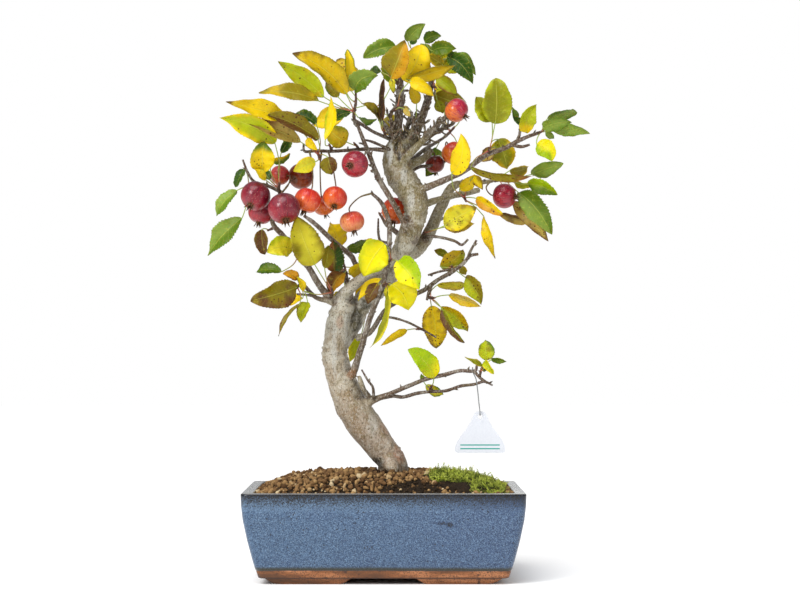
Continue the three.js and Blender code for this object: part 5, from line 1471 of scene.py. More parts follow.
sprays = {
    "top_left": [
        [[-32, -35, 495, 2], [-32, -38, 504, 1.7], [-30, -41, 513, 1.5], [-30, -43, 522, 1.1]],
        [1, -40, -52, 521, -97, -66, 562, 29, 20, 26, 6, 5, "gold olive edge 0.3 browntip"],
        [1, -64, -44, 519, -113, -50, 556, 23, -15, 16, -5, 2, "lime gold patch 0.2"],
        [1, -69, -56, 513, -133, -60, 521, 20, 25, 18, 5, 3, "olive gold patch 0.1"],
        [2, -40, -36, 525, -40, -30, 572, 19, 40, 20, 6, -2, "yellow green edge 0.05"],
        [3, -31, -44, 525, -6, -58, 540, 24, 10, 26, 4, -7, "green paleGreen half- 0"],
        [1, -28, -44, 498, -7, -58, 494, 13, 66, 10, 4, 0, "green darkGreen edge 0"],
        [1, -49, -34, 520, -63, -28, 536, 14, 10, 20, 3, 0, "olive green edge 0.3"],
        [1, -36, -30, 504, -54, -24, 495, 15, 20, 20, 3, 2, "darkGreen green edge 0"],
    ],
    "left_tip": [
        [[-72, -37, 461, 1.7], [-70, -41, 457, 1.6], [-69, -45, 453, 1.4]],
        [2, -73, -58, 448, -96, -66, 437, 17, -10, 16, 3, 1, "lemon yellow edge 0"],
        [1, -70, -60, 471, -124, -86, 495, 23, 25, 30, 5, 2, "olive brown half- 0.5 browntip"],
        [1, -102, -66, 494, -165, -96, 507, 23, 22, 20, 7, -3, "yellow gold tip 0.05 browntip"],
        [1, -60, -50, 454, -55, -46, 436, 21, 10, 26, 2, 0, "brown olive half+ 0.2"],
        [1, -73, -28, 492, -99, -20, 502, 16, 35, 24, 3, 2, "darkGreen green edge 0"],
        [1, -89, -54, 470, -146, -80, 488, 20, 10, 24, 4, 2, "tan rust tip 0.3 browntip"],
        [1, -82, -50, 474, -71, -54, 461, 10, 20, 20, 2, 0, "yellow orange edge 0"],
    ],
    "left_strap": [
        [[-57, -33, 462, 1.6], [-57, -38, 465, 1.4], [-58, -41, 467, 1.2]],
        [2, -62, -68, 470, -56, -76, 516, 16, -35, 30, -5, 3, "yellow lime edge 0"],
    ],
    "left_mid": [
        [[-27, -21, 465, 1.6], [-29, -26, 468, 1.4], [-31, -29, 470, 1.2]],
        [1, -40, -40, 471, -62, -50, 487, 25, 5, 18, 3, -2, "gold oliveGreen edge 0.2"],
    ],
    "apple_cluster": [
        [[-111, -51, 415, 1.9], [-112, -57, 420, 1.7], [-111, -60, 424, 1.4]],
        [2, -116, -60, 468, -173, -84, 492, 28, -20, 22, 5, 8, "lime yellow edge 0.15"],
        [1, -128, -64, 438, -126, -72, 468, 29, 8, 26, 4, -2, "yellow green tip 0.1"],
        [1, -122, -44, 430, -132, -34, 439, 12, 20, 20, 2, 0, "darkGreen green edge 0"],
        [1, -121, -48, 451, -101, -40, 459, 10, 40, 20, 3, 2, "green yellow half- 0"],
        [2, -110, -46, 459, -100, -40, 476, 12, 25, 24, 2, -1, "darkGreen paleGreen edge 0"],
        [1, -125, -66, 428, -137, -74, 439, 10, 30, 10, 2, 0, "yellow lemon edge 0"],
    ],
    "far_left": [
        [[-140, -55, 426, 1.5], [-144, -52, 423, 1.3], [-148, -48, 420, 1.2]],
        [1, -149, -52, 441, -159, -46, 422, 13, 35, 20, 3, -2, "darkGreen green edge 0"],
        [1, -158, -40, 419, -181, -30, 392, 17, 30, 14, 5, 0, "green paleGreen half+ 0"],
        [2, -153, -32, 390, -191, -16, 350, 25, 24, 18, 6, 0, "green paleGreen half+ 0"],
    ],
    "left_branch": [
        [[-116, -40, 380, 1.7], [-121, -35, 378, 1.5], [-124, -31, 377, 1.2]],
        [2, -132, -27, 378, -129, -18, 351, 18, 20, 26, 3, 0, "brown olive edge 0.5"],
    ],
    "fork": [
        [[-58, -9, 305, 2], [-56, -16, 310, 1.6], [-57, -20, 314, 1.3]],
        [1, -74, -46, 339, -93, -64, 390, 37, 12, 22, 8, -3, "lemon olive edge 0.1"],
        [2, -64, -30, 336, -60, -24, 361, 16, 20, 24, 3, 0, "olive green tip 0"],
        [1, -86, -36, 311, -93, -44, 326, 9, 30, 16, 2, 0, "yellow lime edge 0"],
    ],
    "left_low": [
        [[-88, -24, 346, 1.8], [-91, -30, 350, 1.5], [-91, -34, 352, 1.3]],
        [1, -98, -48, 355, -124, -60, 351, 26, 12, 22, 3, 3, "lemon lime edge 0.1"],
        [1, -111, -26, 332, -139, -14, 332, 15, 30, 22, 4, 1, "green darkGreen edge 0"],
    ],
    "low_left": [
        [[-88, -25, 320, 1.7], [-91, -30, 318, 1.5], [-93, -34, 315, 1.3]],
        [1, -93, -40, 323, -108, -50, 329, 12, 15, 24, 2, 2, "orange brown edge 0.2"],
        [2, -93, -42, 315, -142, -58, 300, 32, -22, 20, 6, 1, "olive brown patch 0.4"],
        [1, -88, -24, 303, -110, -14, 295, 14, 20, 20, 3, 2, "yellow gold edge 0.1"],
        [1, -82, -36, 299, -89, -44, 277, 16, 25, 20, 3, 0, "lime olive edge 0"],
        [2, -90, -50, 296, -112, -56, 262, 9, 50, 28, 4, 0, "olive brown edge 0.2"],
    ],
    "fork_back": [
        [[-42, 14, 331, 1.4], [-43, 18, 337, 1.3], [-44, 22, 341, 1.2]],
        [1, -55, 8, 333, -56, 0, 368, 24, 10, 26, 4, 0, "darkGreen rust half- 0.4"],
        [2, -41, 30, 361, -20, 40, 371, 16, 34, 18, 3, 2, "green darkGreen edge 0"],
        [1, -43, 2, 332, -58, -6, 307, 20, 18, 20, 3, 3, "brown amber half- 0.25"],
        [1, -37, 10, 330, -23, 2, 343, 15, 12, 18, 3, 0, "gold yellow half- 0"],
    ],
    "centre_top": [
        [[5, -24, 343, 1.5], [7, -28, 344, 1.4], [8, -31, 345, 1.2]],
        [2, 1, -46, 361, -21, -52, 326, 34, -8, 10, 4, 3, "bright lime edge 0"],
        [1, 15, -46, 343, 38, -64, 311, 29, 14, 16, 5, -3, "brightGreen bright half+ 0.1"],
    ],
    "centre_low": [
        [[-1, -25, 317, 1.6], [2, -30, 318, 1.4], [5, -33, 319, 1.2]],
        [2, 8, -42, 318, 27, -46, 290, 33, -14, 16, 5, -3, "bright bright edge 0.03"],
        [1, 5, -34, 311, -15, -30, 250, 14, 56, 24, 6, -25, "oliveGreen lemon half- 0.1"],
        [1, -3, -17, 325, -28, -16, 301, 12, 20, 22, 2, 2, "yellow gold edge 0"],
        [1, -5, -20, 319, -17, -18, 297, 16, 10, 20, 2, 2, "brown amber patch 0.3"],
        [2, 5, -26, 318, 7, -24, 298, 11, 10, 16, 2, 0, "lemon oliveGreen edge 0.1"],
    ],
    "fork_front": [
        [[-20, 24, 299, 1.8], [-20, 36, 296, 1.5], [-21, 44, 294, 1.3]],
        [1, -6, 34, 327, -30, 30, 302, 17, 40, 22, 4, 3, "yellow gold edge 0"],
        [1, -8, 42, 321, -17, 50, 293, 18, 14, 24, 3, 0, "brown gold edge 0.3"],
        [2, -26, 48, 262, -38, 44, 234, 16, 14, 16, 3, 0, "lime yellow edge 0"],
    ],
    "low_twig": [
        [[42, -15, 270, 1.3], [39, -18, 270, 1.2], [37, -20, 270, 1.1]],
        [1, 25, -26, 269, -3, -38, 252, 11, 30, 28, 3, -2, "yellow gold edge 0.2"],
    ],
    "low_right": [
        [[49, -9, 305, 1.8], [51, -14, 304, 1.6], [54, -18, 304, 1.4]],
        [1, 52, 0, 296, 58, 8, 249, 28, 8, 12, 4, -2, "yellow gold edge 0.6"],
        [2, 71, -28, 307, 105, -38, 294, 14, 30, 30, 4, -3, "tan gold half+ 0.15"],
        [1, 62, -16, 294, 92, -6, 268, 20, 22, 26, 5, -4, "lime gold half- 0.3"],
        [1, 63, -30, 292, 87, -36, 255, 13, 42, 30, 4, 0, "oliveGreen brown half+ 0.2"],
        [1, 59, 10, 319, 93, 20, 319, 13, 34, 24, 4, -3, "lemon tan edge 0.2"],
    ],
    "right_mid": [
        [[75, 2, 335, 1.5], [75, 8, 338, 1.4], [75, 12, 339, 1.2]],
        [1, 62, 20, 340, 88, 28, 359, 23, 8, 20, 3, 3, "gold oliveGreen half+ 0.4"],
        [2, 72, 32, 350, 56, 38, 359, 10, 20, 16, 2, 0, "oliveGreen gold edge 0.2"],
        [1, 90, 10, 327, 107, 4, 297, 21, 20, 26, 4, -4, "olive lime half+ 0.3"],
        [1, 84, 12, 340, 91, 18, 331, 9, 10, 14, 1, 0, "olive gold edge 0.3"],
    ],
    "trunk_right": [
        [[44, 18, 374, 2], [44, 10, 376, 1.6], [45, 6, 377, 1.3]],
        [1, 66, -8, 383, 101, -16, 403, 28, 6, 12, 4, -1, "lemon yellow edge 0.55"],
        [1, 67, -5, 382, 99, -12, 385, 16, 4, 8, 3, 0, "gold tan edge 0.6"],
    ],
    "second_right": [
        [[87, 18, 419, 1.8], [89, 12, 415, 1.5], [90, 8, 412, 1.3]],
        [1, 73, -46, 437, 82, -62, 478, 22, -16, 12, 5, 8, "yellow gold edge 0.15"],
        [1, 83, -2, 424, 99, -12, 439, 15, 14, 16, 2, 2, "yellow gold edge 0.1"],
        [1, 97, -18, 435, 107, -26, 421, 11, 20, 14, 2, -2, "yellow gold edge 0.8"],
        [1, 101, -8, 413, 130, -22, 393, 15, 26, 26, 4, -2, "yellow orange half+ 0.4"],
        [2, 128, 18, 398, 163, 30, 389, 13, 34, 26, 4, -2, "tan brown half- 0.4"],
        [2, 109, -6, 394, 122, -2, 347, 16, 48, 34, 5, -6, "yellow gold tip 0.3"],
    ],
    "right_back_tip": [
        [[124, 37, 436, 1.6], [129, 31, 436, 1.4], [136, 26, 435, 1.3]],
        [1, 143, 16, 411, 181, 6, 367, 19, 34, 26, 6, -6, "tan brown edge 0.5"],
        [2, 148, 2, 420, 183, -14, 373, 26, 14, 20, 7, -5, "green paleGreen half+ 0"],
        [2, 159, 8, 430, 190, -6, 417, 18, 16, 24, 4, -3, "green brightGreen half- 0"],
        [1, 144, 22, 435, 166, 16, 433, 13, 56, 18, 3, 2, "lime yellow edge 0"],
        [1, 140, 34, 447, 162, 44, 453, 14, 34, 18, 3, 1, "olive yellow edge 0.1"],
        [1, 164, 24, 442, 198, 10, 453, 18, 20, 16, 5, -2, "paleGreen green edge 0"],
    ],
    "right_mid_branch": [
        [[114, -34, 459, 1.6], [113, -39, 462, 1.5], [114, -42, 464, 1.2]],
        [2, 119, -52, 489, 119, -60, 537, 34, 6, 14, 5, 1, "oliveGreen lime edge 0 blunt"],
        [2, 116, -49, 492, 99, -54, 518, 23, 4, 8, 3, 0, "oliveGreen lime edge 0"],
        [2, 122, -20, 466, 106, -10, 453, 15, 16, 16, 2, 0, "tan brown edge 0.3"],
        [1, 124, -14, 477, 135, -8, 445, 30, 18, 18, 3, -2, "oliveGreen gold edge 0.1"],
        [1, 93, -56, 442, 160, -60, 433, 13, 40, 34, 5, 2, "olive rust tip 0.5"],
    ],
    "right_upper": [
        [[146, -39, 484, 1.4], [148, -40, 487, 1.3], [149, -41, 490, 1.1]],
        [1, 153, -46, 487, 138, -52, 497, 11, 24, 18, 2, -2, "darkGreen green edge 0"],
        [1, 153, -50, 480, 163, -62, 509, 21, 18, 30, 3, -6, "lime yellow base 0"],
        [2, 142, -44, 492, 138, -38, 509, 8, 30, 18, 2, 0, "green darkGreen edge 0"],
    ],
    "right_tip": [
        [[164, -46, 480, 1.5], [168, -47, 481, 1.4], [170, -48, 482, 1.2]],
        [2, 176, -40, 496, 209, -32, 504, 15, 40, 20, 5, -5, "paleGreen green edge 0"],
        [2, 170, -56, 484, 200, -66, 489, 18, 34, 18, 4, -5, "paleGreen green edge 0"],
        [1, 180, -50, 482, 220, -58, 478, 16, 38, 20, 5, -7, "paleGreen green edge 0"],
        [1, 164, -46, 468, 180, -54, 449, 21, 8, 14, 3, -4, "brightGreen bright half- 0"],
        [1, 175, -36, 484, 184, -28, 476, 8, 30, 14, 1, 0, "paleGreen green edge 0"],
    ],
    "crown_left": [
        [[17, -13, 536, 2], [11, -17, 541, 1.7], [7, -20, 546, 1.4]],
        [2, 13, -14, 578, -22, -8, 566, 21, 14, 22, 4, 2, "green paleGreen edge 0"],
        [1, 8, -48, 540, 23, -60, 577, 32, -16, 22, 5, 2, "amber olive half- 0.25"],
        [1, -3, -2, 552, -17, 6, 553, 11, 20, 16, 2, 0, "darkGreen green edge 0"],
        [1, 9, -24, 542, 11, -28, 525, 8, 20, 16, 1, 0, "lemon lime edge 0.3"],
    ],
    "crown_top": [
        [[17, -17, 548, 2.2], [22, -14, 557, 1.8], [26, -12, 566, 1.5], [31, -10, 575, 1.2]],
        [1, 22, -40, 537, 40, -52, 574, 35, 14, 14, 7, 2, "yellow gold edge 0.1 blunt"],
        [1, 26, -46, 537, 76, -56, 551, 17, 34, 24, 4, -2, "gold olive edge 0.1"],
        [3, 26, -14, 584, 45, -24, 601, 17, 20, 22, 3, -3, "paleGreen green edge 0"],
        [3, 29, -4, 582, 35, 4, 592, 9, 16, 14, 1, 0, "darkGreen green edge 0"],
    ],
    "crown_front": [
        [[8, -14, 507, 1.4], [12, -19, 508, 1.3], [15, -24, 511, 1.1]],
        [2, 28, -66, 533, 53, -72, 516, 16, 30, 20, 4, -5, "yellow gold edge 0.1"],
        [1, 22, -40, 507, 29, -44, 498, 7, 20, 14, 1, 0, "tan brown edge 0.2"],
    ],
    "crown_right": [
        [[57, 21, 554, 1.8], [61, 18, 559, 1.6], [63, 14, 565, 1.4], [62, 10, 571, 1.1]],
        [3, 45, 4, 586, 63, -4, 591, 14, 10, 20, 2, -3, "green darkGreen edge 0"],
        [3, 52, -8, 574, 79, -16, 575, 18, 18, 20, 3, -3, "green oliveGreen edge 0"],
        [1, 69, -6, 568, 97, -14, 537, 22, 14, 24, 5, -6, "darkGreen green edge 0"],
        [2, 85, 16, 576, 101, 8, 550, 12, 24, 14, 3, -2, "paleGreen green edge 0"],
        [1, 65, 3, 560, 47, -1, 571, 15, 14, 14, 1, 0, "olive gold edge 0.3"],
        [2, 63, -2, 569, 72, -8, 573, 7, 10, 12, 1, 0, "lime yellow edge 0"],
        [1, 65, 12, 559, 90, 6, 555, 14, 24, 16, 2, -2, "lime gold edge 0.1"],
        [1, 60, 24, 562, 75, 22, 586, 15, -20, 16, 3, 2, "oliveGreen green edge 0.1"],
        [2, 53, 26, 569, 40, 24, 587, 12, 16, 16, 3, 2, "green oliveGreen edge 0"],
    ],
    "crown_low": [
        [[52, 22, 541, 1.8], [55, 16, 539, 1.6], [57, 12, 537, 1.3]],
        [1, 58, -2, 545, 80, -10, 525, 17, 10, 24, 3, -2, "lime rust edge 0.2"],
        [1, 56, 32, 532, 92, 44, 524, 25, 12, 16, 5, 2, "olive oliveGreen edge 0.2"],
        [1, 59, 24, 525, 66, 32, 511, 12, 14, 16, 2, 0, "oliveGreen olive edge 0.2"],
    ],
    "crown_mid": [
        [[31, 12, 481, 1.8], [32, 14, 487, 1.6], [33, 14, 492, 1.3]],
        [2, 36, 6, 518, 29, 2, 537, 14, 16, 16, 2, 0, "gold olive edge 0.3"],
        [1, 28, 22, 515, 17, 28, 512, 9, 20, 16, 1, 0, "tan olive edge 0.3"],
    ],
    "crown_dry": [
        [[2, -6, 481, 1.5], [0, -10, 486, 1.3], [-1, -12, 489, 1.1]],
        [2, -2, -28, 495, 0, -36, 540, 12, 46, 34, -2, -3, "darkBrown brown edge 0"],
        [1, -5, -30, 495, -24, -38, 513, 14, 40, 26, 3, 2, "olive darkBrown patch 0.2"],
    ],
    "low_branch": [
        [[50, -15, 202, 1.5], [51, -20, 206, 1.3], [52, -23, 208, 1.1]],
        [2, 54, -34, 217, 26, -44, 248, 24, 12, 14, 5, 4, "brightGreen bright base 0.05"],
        [1, 46, -2, 209, 65, 6, 198, 12, 14, 14, 3, 0, "lemon green edge 0.1"],
        [1, 44, 6, 212, 41, 10, 221, 6, 10, 10, 0, 0, "green paleGreen edge 0"],
    ],
    "low_branch_end": [
        [[103, -45, 219, 1.4], [104, -47, 224, 1.3], [105, -48, 228, 1.2]],
        [2, 110, -46, 236, 109, -40, 258, 19, 10, 14, 2, 0, "lime green edge 0.5"],
        [2, 115, -54, 237, 131, -62, 235, 8, 36, 20, 2, -2, "green oliveGreen edge 0"],
        [1, 107, -56, 230, 86, -64, 240, 8, 44, 24, 2, -3, "oliveGreen tan edge 0"],
        [1, 107, -62, 235, 117, -68, 222, 10, 34, 26, 4, -3, "lime yellow edge 0"],
        [1, 107, -40, 230, 111, -34, 225, 7, 12, 14, 1, 0, "darkGreen olive edge 0.2"],
    ],
    "back_crown_left": [
        [[-6, 74, 512, 1.8], [-12, 82, 521, 1.5], [-16, 88, 528, 1.3]],
        [1, -37, 84, 542, -55, 92, 579, 27, 10, 18, 5, 3, "gold olive edge 0.2"],
        [1, 9, 94, 552, 23, 100, 587, 29, -10, 18, 5, -3, "green oliveGreen edge 0"],
        [2, -46, 96, 520, -83, 104, 507, 25, 14, 18, 5, -3, "yellow gold edge 0.2"],
        [1, 4, 80, 514, 23, 70, 490, 25, 20, 18, 4, 2, "olive gold edge 0.2"],
    ],
    "back_crown_right": [
        [[69, 81, 490, 1.8], [75, 88, 496, 1.5], [80, 94, 502, 1.3]],
        [1, 69, 96, 520, 60, 104, 556, 27, 14, 18, 5, 3, "lime yellow edge 0.1"],
        [1, 59, 70, 476, 47, 66, 444, 22, -10, 18, 4, -3, "green darkGreen edge 0"],
        [2, 87, 90, 510, 81, 84, 536, 19, 40, 18, 3, 0, "olive gold edge 0.2"],
        [1, 85, 96, 481, 94, 104, 452, 23, 16, 18, 5, 3, "gold yellow edge 0.2"],
    ],
    "back_low": [
        [[-47, 87, 337, 1.8], [-53, 94, 343, 1.5], [-58, 98, 348, 1.3]],
        [2, -83, 100, 357, -102, 108, 386, 30, 12, 18, 5, 3, "green oliveGreen edge 0"],
        [1, -51, 104, 367, -62, 98, 394, 38, 50, 18, 4, -3, "yellow gold edge 0.2"],
        [1, -44, 86, 313, -50, 80, 284, 27, -14, 18, 5, 3, "oliveGreen gold edge 0.2"],
        [1, -21, 94, 348, -7, 102, 374, 25, 12, 18, 5, -3, "lime yellow edge 0"],
    ],
    "back_mid": [
        [[1, 82, 392, 1.8], [-2, 90, 398, 1.5], [-5, 95, 403, 1.3]],
        [1, 18, 98, 406, 30, 106, 436, 25, 10, 18, 5, 3, "olive green edge 0.1"],
        [1, 20, 88, 373, 34, 82, 343, 27, 14, 18, 5, 3, "gold olive edge 0.3"],
        [2, 20, 88, 423, 23, 80, 454, 33, 44, 18, 4, 2, "green darkGreen edge 0"],
    ],
}
leafTones = {
    "gold": srgb(204, 171, 6),
    "olive": srgb(138, 124, 16),
    "lime": srgb(178, 188, 18),
    "yellow": srgb(248, 212, 0),
    "lemon": srgb(222, 210, 46),
    "bright": srgb(238, 225, 0),
    "brightGreen": srgb(158, 188, 6),
    "green": srgb(92, 122, 22),
    "darkGreen": srgb(48, 82, 16),
    "paleGreen": srgb(132, 158, 60),
    "oliveGreen": srgb(136, 138, 10),
    "rust": srgb(146, 92, 44),
    "brown": srgb(102, 70, 36),
    "darkBrown": srgb(62, 42, 28),
    "orange": srgb(220, 156, 30),
    "amber": srgb(196, 144, 26),
    "tan": srgb(192, 166, 78),
}
foliage = {
    "pitch": 0.8,
    "tooth": 3.1,
    "veins": 5.5,
    "toothDepth": 0.06,
    "greenToothDepth": 0.15,
    "wander": 0.12,
    "thickness": 0.42,
    "quilt": 0.22,
    "columns": (-1.0, -0.86, -0.6, -0.3, 0.0, 0.3, 0.6, 0.86, 1.0),
    "stalkRadius": 0.58,
    "stalkPitch": 2.2,
    "stalkSides": 7,
    "twigPitch": 0.9,
    "twigSides": 9,
    "twigKnobs": (0.22, 2.2),
    "endBud": 4.2,
    "sideBud": 3.0,
    "green": srgb(168, 190, 84),
    "pink": srgb(196, 96, 84),
    "under": srgb(176, 186, 120),
}


class Blade:  # how one leaf's rib runs, and the chances drawn for the leaf
    def __init__(self, row, index):
        _, bx, by, bz, tx, ty, tz, width, roll, fold, arch, bend, look = row
        self.base = place((bx, by, bz))
        self.axis = place((tx, ty, tz)) - self.base
        self.length = self.axis.length
        self.width = width * mm
        self.fold = math.radians(fold)
        self.look = look.split()
        self.rust = float(self.look[3])
        self.index = index
        ahead = self.axis.normalized()
        facing = Vector((0, -1, 0))
        facing = (facing - ahead * facing.dot(ahead)).normalized()
        sideways = ahead.cross(facing)
        turn = math.radians(roll)
        up = facing * math.cos(turn) + sideways * math.sin(turn)
        self.side = sideways * math.cos(turn) - facing * math.sin(turn)
        self.bow = (up * arch + self.side * bend) * 4 * mm
        draw = random.Random(round(bx * 7 + bz * 13 + tx * 3))
        self.lift = draw.uniform(0.9, 1.1)
        self.twist = draw.uniform(-0.16, 0.16)
        self.phase = draw.uniform(0, 6.28)
        self.edge = draw.uniform(0, 50)
        self.pointed = -0.18 if "blunt" in self.look else draw.uniform(-0.05, 0.3)
        self.pinkish = draw.uniform(0.2, 0.9)

    def count(self, gap, least):  # how many times a gap in mm fits along it
        return max(least, round(self.length / (gap * mm)))

    def at(self, s):  # place on the rib, way along and way across
        middle = self.base + self.axis * s + self.bow * s * (1 - s)
        along = (self.axis + self.bow * (1 - 2 * s)).normalized()
        across = (self.side - along * self.side.dot(along)).normalized()
        face = across.cross(along)
        swing = self.twist * (s - 0.4)
        return middle, along, across * math.cos(swing) + face * math.sin(swing)


def leafTint(blade, u, s, spot):
    first, second, way, _, *more = blade.look
    drift = ruffle(spot / mm, 0.055)
    fine = ruffle(spot / mm, 0.17, (5, 1, 8))
    share = {
        "edge": smoothstep(0.5, 1.1, abs(u) + 0.3 * (s - 0.5) + 0.5 * drift + 0.2 * fine),
        "half+": smoothstep(-0.3, 0.4, u + 0.4 * drift + 0.2 * fine),
        "half-": smoothstep(-0.3, 0.4, -u + 0.4 * drift + 0.2 * fine),
        "patch": smoothstep(-0.15, 0.4, drift + 0.3 * fine),
        "tip": smoothstep(0.66, 1.0, s + 0.35 * drift + 0.2 * abs(u)),
        "base": smoothstep(0.5, 0.1, s + 0.3 * drift),
    }[way]
    tint = mixTint(leafTones[first], leafTones[second], share)
    scorch = 0.5 + 0.6 * fine + 0.3 * blade.rust * (1 + abs(u))
    share = 0.6 * smoothstep(0.72, 1.1, scorch) * min(1, 2.5 * blade.rust)
    tint = mixTint(tint, leafTones["brown"], share)
    if "browntip" in more or blade.rust > 0.15:
        tint = mixTint(tint, leafTones["darkBrown"], 0.8 * smoothstep(0.88, 0.98, s + 0.08 * fine))
    return tuple(c * blade.lift for c in tint[:3]) + (1.0,)


def addBlade(shape, blade):
    rows, teeth = blade.count(foliage["pitch"], 9), blade.count(foliage["tooth"], 4)
    pairs = blade.count(foliage["veins"], 4)
    green = blade.look[0] in ("green", "darkGreen")
    depth = foliage["greenToothDepth" if green else "toothDepth"]
    columns, edge, width = foliage["columns"], blade.edge, blade.width
    rings = []
    for k in range(rows + 1):
        s = k / rows
        middle, along, across = blade.at(s)
        face = across.cross(along)
        point = 0.76 + blade.pointed * smoothstep(0.5, 1, s)
        outline = math.sin(math.pi * s**0.82) ** point if 0 < s < 1 else 0
        saw = (s * teeth + 0.4 * wave(s * 5, edge, 1)) % 1
        bite = depth * (1 + wave(s * 9, edge, 5))
        tooth = 1 + bite * (saw - 0.45) * min(1, 6 * (1 - s), 8 * s)
        bays = [1 + foliage["wander"] * wave(s * 4.2 + edge, y, 0) for y in (3, 9)]
        half = max(0.16 * mm, 0.5 * width * outline)
        ripple = 0.07 * width * math.sin(9 * s + 2 * blade.index)
        crimp = 0.022 * width * math.sin(26 * s + blade.phase)
        top, low = [], []
        for u in columns:
            away = abs(u)
            reach = half * bays[u > 0] * (tooth if away > 0.9 else 1)
            rise = half * math.sin(blade.fold) * away**1.25 + (ripple * u + crimp) * away**1.5
            vein = math.cos(2 * math.pi * pairs * (s - 0.16 * away))
            quilt = math.sin(math.pi * min(1, away * 1.02)) * (0.5 - 0.5 * vein)
            rise += foliage["quilt"] * mm * quilt * outline
            spot = middle + across * (u * reach * math.cos(blade.fold)) + face * rise
            thick = foliage["thickness"] * mm * min(1, 0.3 + 5 * (1 - s))
            thick *= 0.5 if away < 0.9 else 0.22
            tint = leafTint(blade, u, s, spot)
            mark = (u, s, blade.rust)
            top.append(shape.point(spot + face * thick, tint, mark))
            rib = 0.35 * mm * (1 - s) if u == 0 else 0
            pale = mixTint(tint, foliage["under"], 0.22)
            low.append(shape.point(spot - face * (thick + rib), pale, mark))
        rings.append(top + low[::-1])
    for low, high in zip(rings, rings[1:]):
        shape.walls(low, high)
    for ring, way in ((rings[0], -1), (rings[-1], 1)):
        for i in range(len(columns) - 1):
            shape.face((ring[i], ring[i + 1], ring[-i - 2], ring[-i - 1])[::way])


def addStalk(shape, blade, foot):
    base, ahead, _ = blade.at(0)
    bow = foot.lerp(base, 0.55) - ahead * 0.12 * (base - foot).length
    spots = (foot, foot.lerp(bow, 0.25), bow, base, blade.at(0.06)[0])
    path = [(p, foliage["stalkRadius"] * r) for p, r in zip(spots, (1.5, 1.1, 1, 0.95, 0.8))]
    rings = tubeRings(curveThrough(path, foliage["stalkPitch"] * mm), foliage["stalkSides"])
    shares = [smoothstep(0, blade.pinkish, k / len(rings)) for k in range(len(rings))]
    shape.rings(rings, 1, [mixTint(foliage["pink"], foliage["green"], s) for s in shares])


def leafFinish():
    shader = {"Subsurface_Weight": 0.1, "Subsurface_Scale": 0.002, "Specular_IOR_Level": 0.18}
    paint = Finish("turningLeaf", **shader)
    across, along, rust = paint.split(paint.mark("mark", "Vector"))
    wide = abs(across)
    vein = abs(paint.maths("FRACT", (along - wide * 0.16) * 8.0) - 0.5)
    lines = paint.maths("MAXIMUM", vein.band(0.055, 0.0) * 0.32, wide.band(0.06, 0.01) * 0.8)
    mottle = paint.noise(260, 4, 0.65)
    paint.base(paint.mark("tint", "Color"))
    paint.cover(srgb(240, 230, 90), mottle.band(0.56, 0.75) * 0.3)
    paint.cover(srgb(96, 104, 26), mottle.band(0.44, 0.26) * 0.35)
    paint.cover(srgb(224, 222, 92), lines * 0.45)
    chance, size, _ = paint.split(paint.cells(430, "Color"))  # brown dots in some of the cells
    crowd = paint.noise(55, 1).band(0.4, 0.66) * 1.7
    few = paint.maths("LESS_THAN", chance, rust * crowd)
    ragged = paint.cells(430) + (mottle - 0.5) * 0.4
    dot = paint.maths("LESS_THAN", ragged, size * 0.34 + 0.08)
    paint.cover(srgb(84, 40, 18), dot * few)
    paint.rough(mottle, 0.28, 0.5)
    paint.relief(lines, 0.0005, 0.7)
    paint.relief(paint.cells(560, feature="DISTANCE_TO_EDGE"), 0.0004, 0.35)
    return paint


def youngFinish():
    paint = Finish("youngShoot", Roughness=0.6, Specular_IOR_Level=0.35)
    mottle = paint.noise(420, 4, 0.65)
    paint.base(paint.mark("tint", "Color"))
    paint.cover(srgb(210, 200, 170), mottle.band(0.54, 0.7) * 0.35)
    paint.cover(srgb(60, 40, 30), mottle.band(0.45, 0.3) * 0.4)
    paint.relief(mottle, 0.0003, 0.6)
    return paint


def makeSprays():
    finishes = [leafFinish(), youngFinish()]
    for seed, (name, (twig, *leaves)) in enumerate(sprays.items()):
        shape = Shape()
        samples = knobbly(smoothPath(twig, foliage["twigPitch"] * mm), seed, *foliage["twigKnobs"])
        rings = tubeRings(samples, foliage["twigSides"])
        shape.rings(rings, 1, fade(bark["umber"], bark["young"], len(rings)))
        for index, row in enumerate(leaves):
            blade = Blade(row, index)
            addBlade(shape, blade)
            addStalk(shape, blade, place(twig[min(row[0], len(twig) - 1)]))
        end, before = place(twig[-1]), place(twig[-2])
        addBud(shape, end, (end - before).normalized(), foliage["endBud"])
        draw = random.Random(seed)
        for row in twig[1:-1]:
            out = Vector((draw.uniform(-1, 1), draw.uniform(-1, 0.4), draw.uniform(0.2, 1)))
            out = out.normalized()
            addBud(shape, place(row) + out * row[3] * 0.6 * mm, out, foliage["sideBud"])
        addPiece("leaves_" + name, shape.mesh(name), finishes, "leaf", "spray_" + name)


# Apples: centre x y z, radius, squash, which way the calyx points, stalk end x y z, look

